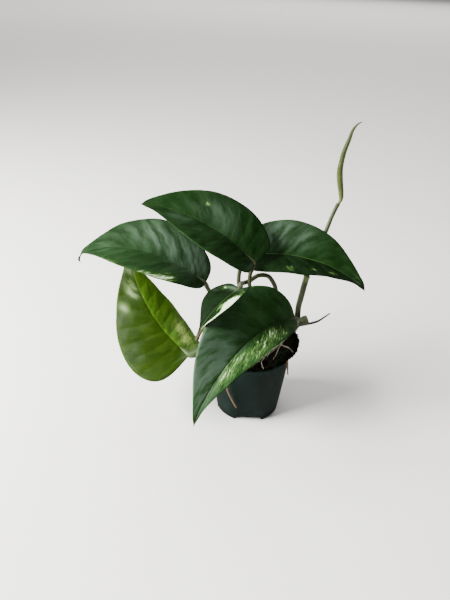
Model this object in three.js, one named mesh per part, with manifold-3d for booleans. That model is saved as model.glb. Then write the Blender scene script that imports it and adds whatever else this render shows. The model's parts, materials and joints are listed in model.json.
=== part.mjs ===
// Potted variegated Epipremnum pinnatum: one rooted cutting in a small round nursery pot.
// Millimetres, +Z up. The origin is the centre of the pot's base, on the surface that it stands on.
import * as THREE from "three";
import { mergeVertices } from "three/addons/utils/BufferGeometryUtils.js";
import Module from "manifold-3d";

const wasm = await Module();
wasm.setup();

// Driving dimensions
const gap = 0.3;
const pot = { height: 50, rimRadius: 27.5, baseRadius: 23.4, wall: 1, floor: 1.4, sides: 64 };
const notch = { count: 4, width: 19, height: 3.8, innerRadius: 18.3, firstAngle: -90 };
const panel = { depthAtFoot: 1.7, fadeHeight: 44 };
const soil = { level: 47.3, heap: 7, heapX: 25, heapY: 6, spreadX: 8, spreadY: 11, lump: 0.35, inner: 25.2 };
const overhang = { reach: 8.4, lift: 0.5, thickness: 1.3, from: 5, to: 25, fadeBefore: 57, fadeAfter: 50 };
const bladeThickness = 0.7;
const bladeGrid = { rows: 20, columns: 4 };
const petioleRadius = 1.25;
const lowPetioleRadius = 1.5;

// Leaf values. Lengths in mm, angles in degrees. heading 0 is +X and 90 is +Y.
const leafDefaults = { round: 0.61, curl: -7, hook: 15 };
const leaves = {
  top: {
    base: [-1.5, 3, 113.5], heading: 163, pitch: 43, droop: 41, sweep: 9, roll: -19, twist: -18,
    length: 82.5, left: 20.5, right: 24, foldLeft: 18, foldRight: 21,
    broad: 0.62, taper: 0.45, lobeLeft: 0.04, lobeRight: 0.05,
  },
  left: {
    base: [-32.5, 4, 97], heading: 176, pitch: 42, droop: 78, hook: 65, sweep: -16, roll: -19, twist: 1,
    length: 101, left: 21, right: 26.5, foldLeft: 15, foldRight: 14,
    broad: 0.71, taper: 0.95, lobeLeft: 0, lobeRight: 0.02,
  },
  right: {
    base: [0, 20, 111], heading: -6, pitch: 12, droop: 46, sweep: -13, roll: 37, twist: -17,
    length: 77, left: 23.5, right: 20, foldLeft: 21, foldRight: 29,
    broad: 0.59, taper: 0.5, lobeLeft: 0.07, lobeRight: 0.12,
  },
  low: {
    base: [-41.5, -10, 48], heading: 150, pitch: 16.5, droop: -49.5, hook: 0, sweep: -23.5, roll: -2.5,
    twist: -35, length: 82.5, left: 33.5, right: 23.5, foldLeft: -11, foldRight: -18, curl: -12,
    broad: 0.47, taper: 0.32, lobeLeft: 0.01, lobeRight: 0.07,
  },
  front: {
    base: [26.5, -6, 78.5], heading: 227, pitch: 29, droop: 85.5, sweep: 7, roll: -30, twist: 21,
    length: 108.5, left: 14.5, right: 28, foldLeft: 20, foldRight: 30,
    broad: 0.72, taper: 0.77, lobeLeft: -0.03, lobeRight: -0.01,
  },
  small: {
    base: [-11, -24.2, 112.1], heading: 222, pitch: -8, droop: 42, sweep: 4, roll: 16, twist: 1,
    length: 38, left: 12.5, right: 14, foldLeft: 15, foldRight: 15,
    broad: 0.65, taper: 1.15, lobeLeft: 0.13, lobeRight: 0.05,
  },
};

// Routes, from the plant's crown outwards. The first point of each lies inside the stem.
const stemRoute = [
  [17.5, 7, 42], [21, 7.6, 50], [25, 8, 55.5], [28, 8, 60.5], [29.5, 8, 64], [32.4, 8, 66.3], [36.3, 8, 68.3],
];
const petioleRoutes = {
  top: [
    [28.4, 7, 61.5], [25.2, 4.6, 66], [23.5, 4, 71], [10.5, 2, 81.1], [-0.3, -1, 92],
    [-4, -2, 99.2], [-4.6, -2, 104.4], [-4.3, -1, 109], [-3, 1, 111.6],
  ],
  left: [
    [27.8, 8, 59.5], [22.5, 9, 60.8], [2, 10, 65], [-19.2, 10, 75.6], [-30, 8, 88.6], [-32.2, 5.6, 94.6],
  ],
  right: [
    [28.7, 8, 62], [23.4, 10.7, 63.6], [6.5, 13, 69.9], [-6.5, 15, 79.5], [-10.3, 15, 89.3],
    [-10.9, 15, 95.3], [-10.4, 16, 100.9], [-8, 18, 105.5], [-3.5, 19.4, 109],
  ],
  low: [
    [25.3, 8, 56], [19.8, 6.4, 57.2], [2.5, 5, 55.7], [-18.2, 0, 53.2], [-31.7, -4.5, 51],
    [-36.5, -7.8, 48.6], [-39.2, -9.4, 47.8],
  ],
  front: [[30, 7, 65], [29.6, 3.8, 68.5], [29.2, 1, 72], [28.6, -1.6, 75], [27.8, -4.3, 77.2]],
  small: [
    [28.6, 8.4, 63], [26.3, 9.8, 68], [25, 10, 72], [19.7, 9.6, 80.8], [14.9, 8.5, 88.1], [12.1, 7.5, 96.3],
    [7.4, 6.5, 102.8], [1.4, 5, 103.8], [-4.2, 2, 101.4], [-7.8, -2.4, 102.4], [-9.8, -11, 107],
    [-10.8, -21, 110.3],
  ],
};
const stalkRoute = [
  [31, 8.8, 65.6], [31.2, 12.2, 69], [30.9, 12, 75.4], [31.5, 11.5, 84], [34, 15, 98.2], [38.1, 22, 110.5],
  [45.3, 32, 123.6], [48.7, 37, 132.1], [52.1, 41, 138.9],
];
const rolledLeafRoute = [
  [53, 41.7, 139.8], [54.2, 43, 142.6], [53.7, 44, 146.9], [51.7, 44, 154.7], [50.4, 44, 162.4],
  [50.8, 44, 171.8], [52.6, 43, 181.3], [53.9, 42, 187.7], [55.8, 41, 191], [57.9, 40, 192.6],
];
const aerialRootRight = [[32, 8, 63.5], [37.7, 8, 65], [44.2, 8, 67.3], [48.9, 8, 71.5], [52.2, 8, 74.9]];
const aerialRootLeft = [
  [26.5, 9, 58.4], [22, 12.4, 59.6], [17, 12.4, 60], [-8.3, 8, 62.4], [-25.5, 3, 66.9], [-33.6, 1, 62.2],
  [-36.5, 1, 56.7], [-37.9, 1, 51.4],
];
const hangingRootFront = [
  [-11.5, -15.5, 45], [-13.5, -19.5, 50.5], [-16.4, -23.8, 52.2], [-17.2, -25.4, 47], [-15.5, -25.2, 33.3],
  [-12.5, -25.3, 25], [-8.2, -25.5, 15.3],
];
const hangingRootRim = [[23.7, -16, 51.7], [24.1, -16.5, 49], [24.6, -16.2, 44], [25.8, -13.4, 37]];
const surfaceRoots = [
  [[24, 1.5], [19.9, -0.9], [24, -6], [28, -10.2]],
  [[24, 1.5], [18.8, -4.8], [16.5, -10.5], [14.4, -16.4]],
  [[24, 1.5], [13, -6], [7, -14], [8.5, -21.2]],
];

function point(values) {
  return new THREE.Vector3(...values);
}

function smooth(from, to, value) {
  return THREE.MathUtils.smoothstep(value, from, to);
}

// A closed mesh as a solid, and a solid as a mesh again.
function solidOf(geometry) {
  const bare = geometry.clone();
  bare.deleteAttribute("normal");
  bare.deleteAttribute("uv");
  const merged = mergeVertices(bare, 1e-4);
  const vertProperties = new Float32Array(merged.attributes.position.array);
  const triVerts = new Uint32Array(merged.index.array);
  return new wasm.Manifold(new wasm.Mesh({ numProp: 3, vertProperties, triVerts }));
}

function geometryOf(solid) {
  const mesh = solid.getMesh();
  const geometry = new THREE.BufferGeometry();
  geometry.setAttribute("position", new THREE.BufferAttribute(mesh.vertProperties, 3));
  geometry.setIndex(new THREE.BufferAttribute(mesh.triVerts, 1));
  geometry.computeVertexNormals();
  return geometry;
}

function cutBy(geometry, cutters) {
  return geometryOf(cutters.reduce((solid, cutter) => solid.subtract(solidOf(cutter)), solidOf(geometry)));
}

// A round rod bent along a smooth curve, with its radius given at each fraction of its length.
// A clearance makes it larger all round, for the hole that the rod passes through.
function tube({ route, radiusAt, sides = 8 }, clearance = 0) {
  const stepLength = 3;
  const path = new THREE.CatmullRomCurve3(route.map(point), false, "centripetal");
  const steps = Math.ceil(path.getLength() / stepLength);
  const corner = (index) => {
    const angle = (2 * Math.PI * index) / sides;
    return new THREE.Vector2(Math.cos(angle), Math.sin(angle));
  };
  const section = new THREE.Shape(Array.from({ length: sides }, (_, index) => corner(index)));
  const rod = new THREE.ExtrudeGeometry(section, { depth: 1, steps, bevelEnabled: false });
  const frames = path.computeFrenetFrames(steps);
  const position = rod.attributes.position;
  for (let i = 0; i < position.count; i += 1) {
    const ring = Math.round(position.getZ(i) * steps);
    const radius = radiusAt(ring / steps) + clearance;
    const place = path.getPointAt(ring / steps);
    if (ring === 0) place.addScaledVector(frames.tangents[ring], -clearance);
    if (ring === steps) place.addScaledVector(frames.tangents[ring], clearance);
    place.addScaledVector(frames.normals[ring], position.getX(i) * radius);
    place.addScaledVector(frames.binormals[ring], position.getY(i) * radius);
    position.setXYZ(i, place.x, place.y, place.z);
  }
  rod.computeVertexNormals();
  return rod;
}

const even = (radius) => () => radius;

// The stem is thickest at the crown, where the leaves leave it.
const stemRadius = (t) => 2.5 + 0.9 * Math.exp(-(((t - 0.68) / 0.14) ** 2));

// The sheath of the last leaf ends in a ring, where the stalk steps down to its thinner upper part.
const stalkRadius = (t) => 2 - 0.6 * smooth(0.4, 0.44, t) - 0.1 * smooth(0.5, 1, t);

const rolledRadius = (t) => 0.6 + 1.5 * Math.sin(Math.PI * t ** 0.6) ** 0.8;

const rods = {
  mainStem: { route: stemRoute, radiusAt: stemRadius, sides: 10 },
  petioles: Object.fromEntries(Object.entries(petioleRoutes).map(([name, route]) => {
    const radius = name === "low" ? lowPetioleRadius : petioleRadius;
    return [name, { route, radiusAt: even(radius) }];
  })),
  shootStalk: { route: stalkRoute, radiusAt: stalkRadius },
  rolledLeaf: { route: rolledLeafRoute, radiusAt: rolledRadius },
  aerialRootRight: { route: aerialRootRight, radiusAt: (t) => 0.8 - 0.3 * t },
  aerialRootLeft: { route: aerialRootLeft, radiusAt: even(0.8) },
  hangingRootFront: { route: hangingRootFront, radiusAt: even(0.8), sides: 6 },
  hangingRootRim: { route: hangingRootRim, radiusAt: even(0.6), sides: 6 },
};

// The pot's round shape, shrunk inwards by inset, between two heights.
function taperedRound(inset, low, high) {
  const slope = (pot.rimRadius - pot.baseRadius) / pot.height;
  const radiusAt = (z) => pot.baseRadius + slope * z - inset;
  const profile = [[0, low], [radiusAt(low), low], [radiusAt(high), high], [0, high]];
  const outline = profile.map(([r, z]) => new THREE.Vector2(r, z));
  return new THREE.LatheGeometry(outline, pot.sides).rotateX(Math.PI / 2);
}

// A block that planes one flat panel into the round wall: deepest at the foot, nothing near the rim.
function panelCutter(inset, angle) {
  const slope = (pot.rimRadius - pot.baseRadius) / pot.height;
  const lean = Math.atan(slope + panel.depthAtFoot / panel.fadeHeight);
  const block = new THREE.BoxGeometry(20, 60, 140).translate(10, 0, 0).rotateY(lean);
  const distance = pot.baseRadius - panel.depthAtFoot - inset;
  return block.translate(distance, 0, 0).rotateZ(THREE.MathUtils.degToRad(angle));
}

function notchCutter(clearance, angle) {
  const { width, height, innerRadius } = notch;
  const block = new THREE.BoxGeometry(20, width + 2 * clearance, 2 * (height + clearance));
  return block.translate(innerRadius - clearance + 10, 0, 0).rotateZ(THREE.MathUtils.degToRad(angle));
}

const notchAngles = Array.from({ length: notch.count }, (_, i) => notch.firstAngle + (360 / notch.count) * i);

function panelledRound(inset, low, high) {
  return cutBy(taperedRound(inset, low, high), notchAngles.map((angle) => panelCutter(inset, angle)));
}

function potGeometry() {
  const cavity = panelledRound(pot.wall, pot.floor, pot.height + 5);
  const notches = notchAngles.map((angle) => notchCutter(0, angle));
  return cutBy(panelledRound(0, 0, pot.height), [cavity, ...notches]);
}

// How far the soil leans out over the rim on the side where the plant stands: 1 most, 0 none.
function overhangAt(angle) {
  const before = (overhang.from - angle) / overhang.fadeBefore;
  const after = (angle - overhang.to) / overhang.fadeAfter;
  return Math.cos((Math.PI / 2) * THREE.MathUtils.clamp(Math.max(before, after, 0), 0, 1));
}

// Where the soil leans out, its edge is first lifted over the rim, and then reaches past it.
function edgeLift(angle) {
  return smooth(0, 0.12, overhangAt(angle));
}

function soilEdge(angle) {
  return soil.inner + overhang.reach * Math.max(0, overhangAt(angle) - 0.12);
}

function soilHeight(x, y) {
  const { level, heap, heapX, heapY, spreadX, spreadY, lump } = soil;
  const angle = THREE.MathUtils.radToDeg(Math.atan2(y, x));
  const nearEdge = smooth(0.45, 0.9, Math.hypot(x, y) / soilEdge(angle));
  const lifted = (pot.height + overhang.lift + overhang.thickness - level) * edgeLift(angle) * nearEdge;
  const mound = Math.exp(-(((x - heapX) / spreadX) ** 2 + ((y - heapY) / spreadY) ** 2) / 2);
  const lumps = Math.sin(0.9 * x + 1.3) * Math.cos(0.8 * y) + Math.sin(0.6 * x - 0.7 * y);
  return level + lifted + heap * mound + lump * lumps;
}

// The soil above the pot's inside, as rings from its underside out to its edge and in over its top.
function moundGeometry() {
  const sides = 48;
  const topFractions = [0.93, 0.78, 0.6, 0.42, 0.22];
  const sunk = 44;
  const underside = (angle) => THREE.MathUtils.lerp(45.5, pot.height + overhang.lift, edgeLift(angle));
  const topAt = (radius, radians) => soilHeight(radius * Math.cos(radians), radius * Math.sin(radians));
  const profile = (angle, radians) => {
    const edge = soilEdge(angle);
    const low = underside(angle);
    const rounded = (low + topAt(edge * topFractions[0], radians)) / 2;
    return [
      [soil.inner, sunk], [soil.inner, low], [0.3 * soil.inner + 0.7 * edge, low + 0.1], [edge, rounded],
      ...topFractions.map((fraction) => [edge * fraction, topAt(edge * fraction, radians)]),
    ];
  };
  const points = [];
  for (let i = 0; i < sides; i += 1) {
    const angle = (360 / sides) * i - 180;
    const radians = THREE.MathUtils.degToRad(angle);
    for (const [radius, z] of profile(angle, radians)) {
      points.push([radius * Math.cos(radians), radius * Math.sin(radians), z]);
    }
  }
  const rings = points.length / sides;
  const bottom = points.push([0, 0, sunk]) - 1;
  const top = points.push([0, 0, soilHeight(0, 0)]) - 1;
  const at = (ring, i) => (i % sides) * rings + ring;
  const index = [];
  for (let i = 0; i < sides; i += 1) {
    index.push(bottom, at(0, i + 1), at(0, i), top, at(rings - 1, i), at(rings - 1, i + 1));
    for (let ring = 0; ring + 1 < rings; ring += 1) {
      index.push(at(ring, i), at(ring, i + 1), at(ring + 1, i + 1));
      index.push(at(ring, i), at(ring + 1, i + 1), at(ring + 1, i));
    }
  }
  return meshOf(points, index);
}

function meshOf(points, index) {
  const geometry = new THREE.BufferGeometry();
  geometry.setAttribute("position", new THREE.Float32BufferAttribute(points.flat(), 3));
  geometry.setIndex(index);
  geometry.computeVertexNormals();
  return geometry;
}

// Roots that creep over the soil from one crown: half sunk in it, each thinner at its end.
function surfaceRootGeometry(clearance = 0) {
  const roots = surfaceRoots.map((places) => {
    const route = places.map(([x, y]) => [x, y, soilHeight(x, y) + 0.5]);
    return solidOf(tube({ route, radiusAt: (t) => 1 - 0.3 * t }, clearance));
  });
  return geometryOf(roots.reduce((all, root) => all.add(root)));
}

function soilGeometry() {
  const lowest = pot.floor + gap;
  const body = solidOf(panelledRound(pot.wall + gap, lowest, 45)).add(solidOf(moundGeometry()));
  const planted = [rods.mainStem, rods.petioles.low, rods.hangingRootFront, rods.hangingRootRim];
  return cutBy(geometryOf(body), [
    ...notchAngles.map((angle) => notchCutter(gap, angle)),
    ...planted.map((rod) => tube(rod, gap)),
    surfaceRootGeometry(gap),
  ]);
}

// The unit vectors of a leaf at a fraction of its length: along it, to its left, and up from its face.
function leafAxes(leaf, fraction) {
  const hooked = THREE.MathUtils.clamp((fraction - 0.8) / 0.2, 0, 1) ** 2;
  const pitch = THREE.MathUtils.degToRad(leaf.pitch - leaf.droop * fraction - leaf.hook * hooked);
  const heading = THREE.MathUtils.degToRad(leaf.heading + leaf.sweep * fraction);
  const roll = THREE.MathUtils.degToRad(leaf.roll + leaf.twist * fraction);
  const flat = Math.cos(pitch);
  const along = point([flat * Math.cos(heading), flat * Math.sin(heading), Math.sin(pitch)]);
  const level = point([-Math.sin(heading), Math.cos(heading), 0]);
  const upright = along.clone().cross(level);
  const side = level.clone().multiplyScalar(Math.cos(roll)).addScaledVector(upright, Math.sin(roll));
  const up = upright.clone().multiplyScalar(Math.cos(roll)).addScaledVector(level, -Math.sin(roll));
  return { along, side, up };
}

// The midrib as a curve through points a small step apart; behind the base it runs straight back.
function midribOf(leaf) {
  const steps = 60;
  const places = [point(leaf.base)];
  for (let i = 0; i < steps; i += 1) {
    const { along } = leafAxes(leaf, (i + 0.5) / steps);
    places.push(places[i].clone().addScaledVector(along, leaf.length / steps));
  }
  return (fraction) => {
    if (fraction <= 0) {
      return places[0].clone().addScaledVector(leafAxes(leaf, 0).along, fraction * leaf.length);
    }
    const place = Math.min(fraction, 1) * steps;
    const before = Math.min(Math.floor(place), steps - 1);
    return places[before].clone().lerp(places[before + 1], place - before);
  };
}

// One place on the blade: row runs from base to tip, across from the midrib to one edge.
function bladePoint(leaf, midrib, row, across, sideName) {
  const isLeft = sideName === "Left";
  const halfWidth = isLeft ? leaf.left : leaf.right;
  const lobe = row / 0.08;
  const edge = row - leaf[`lobe${sideName}`] * lobe * Math.exp(1 - lobe);
  const width = halfWidth * Math.sin(Math.PI * row ** leaf.broad) ** (leaf.round + leaf.taper * row);
  const start = row - 0.1 * Math.sin(Math.PI * row);
  const fraction = start + (edge - start) * across ** 1.3;
  const { side, up } = leafAxes(leaf, Math.max(fraction, 0));
  const fold = THREE.MathUtils.degToRad(leaf[`fold${sideName}`]);
  const curl = THREE.MathUtils.degToRad(leaf.curl);
  const tilt = fold + curl * across;
  const lateral = (width * (Math.sin(tilt) - Math.sin(fold))) / curl;
  const height = (width * (Math.cos(fold) - Math.cos(tilt))) / curl;
  return midrib(fraction).addScaledVector(side, isLeft ? lateral : -lateral).addScaledVector(up, height);
}

// A blade is one grid of points, thickened along its own normals, with both faces split alike.
function bladeGeometry(values) {
  const leaf = { ...leafDefaults, ...values };
  const midrib = midribOf(leaf);
  const { rows, columns } = bladeGrid;
  const across = 2 * columns + 1;
  const middle = [midrib(0)];
  for (let r = 1; r < rows; r += 1) {
    for (let c = -columns; c <= columns; c += 1) {
      const sideName = c < 0 ? "Right" : "Left";
      middle.push(bladePoint(leaf, midrib, r / rows, Math.abs(c) / columns, sideName));
    }
  }
  middle.push(midrib(1));
  const tip = middle.length - 1;
  const at = (r, c) => 1 + (r - 1) * across + c;
  const faces = [];
  for (let c = 0; c + 1 < across; c += 1) {
    faces.push([0, at(1, c), at(1, c + 1)]);
    for (let r = 1; r + 1 < rows; r += 1) {
      faces.push([at(r, c), at(r + 1, c), at(r + 1, c + 1)]);
      faces.push([at(r, c), at(r + 1, c + 1), at(r, c + 1)]);
    }
    faces.push([at(rows - 1, c), tip, at(rows - 1, c + 1)]);
  }
  const rim = [0];
  for (let r = 1; r < rows; r += 1) rim.push(at(r, 0));
  rim.push(tip);
  for (let r = rows - 1; r > 0; r -= 1) rim.push(at(r, across - 1));
  return thicken(middle, faces, rim);
}

function thicken(middle, faces, rim) {
  const sheet = meshOf(middle.map((place) => place.toArray()), faces.flat());
  const normals = sheet.attributes.normal;
  const shifted = (sign) => middle.map((place, i) => {
    const normal = new THREE.Vector3().fromBufferAttribute(normals, i);
    return place.clone().addScaledVector(normal, (sign * bladeThickness) / 2).toArray();
  });
  const count = middle.length;
  const index = faces.flatMap(([a, b, c]) => [a, b, c, a + count, c + count, b + count]);
  rim.forEach((a, i) => {
    const b = rim[(i + 1) % rim.length];
    index.push(a, b + count, b, a, a + count, b + count);
  });
  return meshOf([...shifted(1), ...shifted(-1)], index);
}

// What grows from the stem is cut clear of it.
function fromStem(rod) {
  return cutBy(tube(rod), [tube(rods.mainStem, gap)]);
}

// Materials
function surface(color, roughness) {
  return new THREE.MeshStandardMaterial({ color, roughness, metalness: 0 });
}

const materials = {
  pot: surface(0x2a3f3b, 0.5),
  soil: surface(0x1d1a12, 0.95),
  leaf: surface(0x2f5220, 0.4),
  youngLeaf: surface(0x64912f, 0.4),
  petiole: surface(0x6d8f4a, 0.5),
  stem: surface(0x78826a, 0.6),
  root: surface(0x9c8462, 0.8),
};

const plant = new THREE.Group();

function add(name, geometry, material) {
  const mesh = new THREE.Mesh(geometry, material);
  mesh.name = name;
  plant.add(mesh);
}

add("pot", potGeometry(), materials.pot);
add("soil", soilGeometry(), materials.soil);
add("main_stem", tube(rods.mainStem), materials.stem);
for (const [name, values] of Object.entries(leaves)) {
  add(`petiole_${name}`, fromStem(rods.petioles[name]), materials.petiole);
  add(`blade_${name}`, bladeGeometry(values), name === "low" ? materials.youngLeaf : materials.leaf);
}
add("shoot_stalk", fromStem(rods.shootStalk), materials.petiole);
add("rolled_leaf", tube(rods.rolledLeaf), materials.youngLeaf);
add("aerial_root_right", fromStem(rods.aerialRootRight), materials.root);
add("aerial_root_left", fromStem(rods.aerialRootLeft), materials.root);
add("hanging_root_front", tube(rods.hangingRootFront), materials.root);
add("hanging_root_rim", tube(rods.hangingRootRim), materials.root);
add("soil_roots", surfaceRootGeometry(), materials.root);

export default plant;
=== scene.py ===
# %% [markdown]
# A young variegated Epipremnum pinnatum in a small nursery pot. Its six blades, their
# petioles, the new shoot, the roots, the soil and the pot are all separate pieces on the real
# plant, and they are separate meshes here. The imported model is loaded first, because every
# piece is fitted to it and nothing in it is moved.

# %% Load the fixed frame
import json
import math

import bpy
import numpy as np
from mathutils import Matrix, Vector

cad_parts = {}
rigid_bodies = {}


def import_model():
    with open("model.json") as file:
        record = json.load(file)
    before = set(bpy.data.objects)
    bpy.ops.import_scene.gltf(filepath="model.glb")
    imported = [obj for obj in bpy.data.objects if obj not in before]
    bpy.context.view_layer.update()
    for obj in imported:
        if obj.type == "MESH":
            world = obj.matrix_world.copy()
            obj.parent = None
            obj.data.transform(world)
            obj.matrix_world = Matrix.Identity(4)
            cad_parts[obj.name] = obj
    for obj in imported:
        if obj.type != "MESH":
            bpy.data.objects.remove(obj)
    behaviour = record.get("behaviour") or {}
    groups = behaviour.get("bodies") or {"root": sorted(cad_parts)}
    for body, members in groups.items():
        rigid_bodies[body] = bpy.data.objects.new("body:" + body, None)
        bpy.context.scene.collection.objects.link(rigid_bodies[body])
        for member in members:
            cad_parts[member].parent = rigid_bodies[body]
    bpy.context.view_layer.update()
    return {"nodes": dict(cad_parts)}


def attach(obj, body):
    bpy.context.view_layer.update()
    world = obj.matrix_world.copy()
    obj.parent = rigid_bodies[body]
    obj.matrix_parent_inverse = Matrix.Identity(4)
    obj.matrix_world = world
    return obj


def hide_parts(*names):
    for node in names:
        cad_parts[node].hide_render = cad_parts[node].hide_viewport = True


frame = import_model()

MM = 0.001
DEGREE = math.pi / 180
print("nodes in the frame:", len(frame["nodes"]))

# %% [markdown]
# The photo was taken from the front and above, a little turned about the line of sight. The
# lens and the width of the film, both in millimetres, give the photo's perspective, and the
# camera's place follows from the point that it looks at, its distance and its two angles. The
# camera comes first.

# %% Camera
LOOK_AT = Vector((-19.4, 1.8, 86.0)) * MM
DISTANCE = 315 * MM
DOWN = 33.8 * DEGREE
TURN = 2.5 * DEGREE
LENS = 28.9
FILM = 36

camera = bpy.data.objects.new("camera", bpy.data.cameras.new("camera"))
camera.data.lens = LENS
camera.data.sensor_width = FILM
camera.data.clip_start = 10 * MM
back = Vector((0, -math.cos(DOWN), math.sin(DOWN)))
aim = Matrix.Rotation(math.pi / 2 - DOWN, 4, "X") @ Matrix.Rotation(TURN, 4, "Z")
camera.matrix_world = Matrix.Translation(LOOK_AT + back * DISTANCE) @ aim
bpy.context.scene.collection.objects.link(camera)
bpy.context.scene.camera = camera
print("camera at", [round(value, 4) for value in camera.location])

# %% [markdown]
# A tree of nodes is a sum written as boxes and lines. Written as Python sums it is shorter and
# can be read. One class wraps a socket and knows the operators, so that a plus sign between
# two sockets makes the node that adds them.

# %% Sums as nodes
class Signal:
    """One output of a node tree, which can be added, multiplied and so on."""

    def __init__(self, recipe, socket):
        self.recipe = recipe
        self.socket = socket

    def work(self, operation, first, second):
        is_vector = any(isinstance(v, Signal) and v.socket.type == "VECTOR" for v in (first, second))
        if not is_vector:
            return self.recipe.math(operation, first, second)
        numbers = [v for v in (first, second) if not isinstance(v, Signal) or v.socket.type != "VECTOR"]
        if operation == "MULTIPLY" and numbers:
            vector = second if first is numbers[0] else first
            return self.recipe.vector("SCALE", vector, scale=numbers[0])
        return self.recipe.vector(operation, first, second)

    def __add__(self, other):
        return self.work("ADD", self, other)

    def __radd__(self, other):
        return self.work("ADD", other, self)

    def __sub__(self, other):
        return self.work("SUBTRACT", self, other)

    def __rsub__(self, other):
        return self.work("SUBTRACT", other, self)

    def __mul__(self, other):
        return self.work("MULTIPLY", self, other)

    def __rmul__(self, other):
        return self.work("MULTIPLY", other, self)

    def __truediv__(self, other):
        return self.work("DIVIDE", self, other)

    def __rtruediv__(self, other):
        return self.work("DIVIDE", other, self)

    def __pow__(self, other):
        return self.work("POWER", self, other)


# %% [markdown]
# A second class stands for a whole tree. One method of it makes every node: it sets the node's
# own settings first and then its sockets, from numbers or from other nodes. The other methods
# are names for the sums that the plant needs often, such as a soft step and a bell.

# %% A tree as a recipe
class Recipe:
    """A node tree that is written as sums."""

    def __init__(self, tree):
        self.tree = tree

    def add(self, kind, settings=None, values=None, output=0):
        """Makes a node. A list of signals goes into one socket, where the node takes several."""
        node = self.tree.nodes.new(kind)
        for name, value in (settings or {}).items():
            setattr(node, name, value)
        for key, value in (values or {}).items():
            for part in value if isinstance(value, list) else [value]:
                if isinstance(part, Signal):
                    self.tree.links.new(part.socket, node.inputs[key])
                else:
                    node.inputs[key].default_value = part
        if isinstance(output, tuple):
            return tuple(Signal(self, node.outputs[key]) for key in output)
        return Signal(self, node.outputs[output]) if len(node.outputs) else node

    def math(self, operation, first, second=0.0):
        return self.add("ShaderNodeMath", {"operation": operation}, {0: first, 1: second})

    def vector(self, operation, first, second=(0, 0, 0), scale=1.0):
        values = {0: first, 3: scale} if operation == "SCALE" else {0: first, 1: second}
        return self.add("ShaderNodeVectorMath", {"operation": operation}, values)

    def combine(self, x, y, z):
        return self.add("ShaderNodeCombineXYZ", None, {0: x, 1: y, 2: z})

    def separate(self, vector):
        return self.add("ShaderNodeSeparateXYZ", None, {0: vector}, (0, 1, 2))

    def sine(self, value):
        return self.math("SINE", value)

    def cosine(self, value):
        return self.math("COSINE", value)

    def distance(self, value):
        """How far a value is from zero, on either side."""
        return self.math("ABSOLUTE", value)

    def at_least(self, low, value):
        return self.math("MAXIMUM", value, low)

    def at_most(self, high, value):
        return self.math("MINIMUM", value, high)

    def between(self, low, high, value):
        """A soft step: 0 where value is at low or before it, and 1 at high or after it."""
        settings = {"interpolation_type": "SMOOTHSTEP"}
        return self.add("ShaderNodeMapRange", settings, {0: value, 1: low, 2: high})

    def bell(self, value, centre, width):
        """A smooth bump: 1 where value is at the centre, and nearly 0 two widths away."""
        return self.math("EXPONENT", ((value - centre) / width) ** 2 * -1)

    def noise(self, vector, scale, detail=2, roughness=0.5, distortion=0.0):
        values = {"Vector": vector, "Scale": scale, "Detail": detail, "Roughness": roughness}
        return self.add("ShaderNodeTexNoise", None, {**values, "Distortion": distortion})


# %% [markdown]
# Shape trees get their sizes through named inputs, so that one tree makes every leaf. Each ends
# in the same way: smooth shading, real geometry for whatever was scattered, and the material.

# %% Shape trees
def shape_tree(name, floats, vectors=(), geometry=False):
    """Opens a tree of geometry nodes, and gives its inputs by their names."""
    tree = bpy.data.node_groups.new(name, "GeometryNodeTree")
    wanted = [("Geometry", "Geometry")] if geometry else []
    wanted += [(label, "Float") for label in floats]
    wanted += [(label, "Vector") for label in vectors]
    wanted += [("Material", "Material")]
    for label, kind in wanted:
        tree.interface.new_socket(label, in_out="INPUT", socket_type="NodeSocket" + kind)
    tree.interface.new_socket("Geometry", in_out="OUTPUT", socket_type="NodeSocketGeometry")
    recipe = Recipe(tree)
    entry = tree.nodes.new("NodeGroupInput")
    return recipe, {socket.name: Signal(recipe, socket) for socket in entry.outputs if socket.name}


def close_tree(recipe, geometry, material):
    smooth = recipe.add("GeometryNodeSetShadeSmooth", None, {"Geometry": geometry})
    real = recipe.add("GeometryNodeRealizeInstances", None, {0: smooth})
    done = recipe.add("GeometryNodeSetMaterial", None, {"Geometry": real, "Material": material})
    recipe.add("NodeGroupOutput", None, {0: done})


def store(recipe, geometry, name, value, domain="POINT"):
    """Keeps a value on the mesh under a name, for the finish to read."""
    settings = {"data_type": "FLOAT", "domain": domain}
    values = {"Geometry": geometry, "Name": name, "Value": value}
    return recipe.add("GeometryNodeStoreNamedAttribute", settings, values)


# %% [markdown]
# A mesh made by a tree is turned into a plain mesh before it is handed on, and a piece is then
# tied to the body that it moves with, and the solid that it stands for is hidden.

# %% Finished pieces
def place(name, mesh):
    mesh.name = name
    piece = bpy.data.objects.new(name, mesh)
    bpy.context.scene.collection.objects.link(piece)
    return piece


def plain_mesh(host):
    """The mesh that an object's modifiers make; the object itself is taken away."""
    bpy.context.view_layer.update()
    evaluated = host.evaluated_get(bpy.context.evaluated_depsgraph_get())
    mesh = bpy.data.meshes.new_from_object(evaluated)
    host.modifiers.clear()
    bpy.data.objects.remove(host)
    return mesh


def grow(name, recipe, values, source=None):
    """Runs a shape tree on a source and keeps its result as a plain mesh object."""
    host = place(name + "_host", source or bpy.data.meshes.new(name + "_host"))
    modifier = host.modifiers.new("shape", "NODES")
    modifier.node_group = recipe.tree
    for item in recipe.tree.interface.items_tree:
        if item.in_out == "INPUT" and item.name in values:
            modifier[item.identifier] = values[item.name]
    return place(name, plain_mesh(host))


def hand_over(piece, node, slot):
    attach(piece, "root")
    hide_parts(node)
    piece.data.calc_loop_triangles()
    print(piece.name, "has", len(piece.data.loop_triangles), "triangles")


# %% [markdown]
# A painted finish is one Principled shader. Colour, roughness and the fine relief change over
# the surface, and everything else is a plain number on the shader. The pattern is made of soft
# steps, bells and noise, because a plant's colours run into each other without a hard edge.

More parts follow.
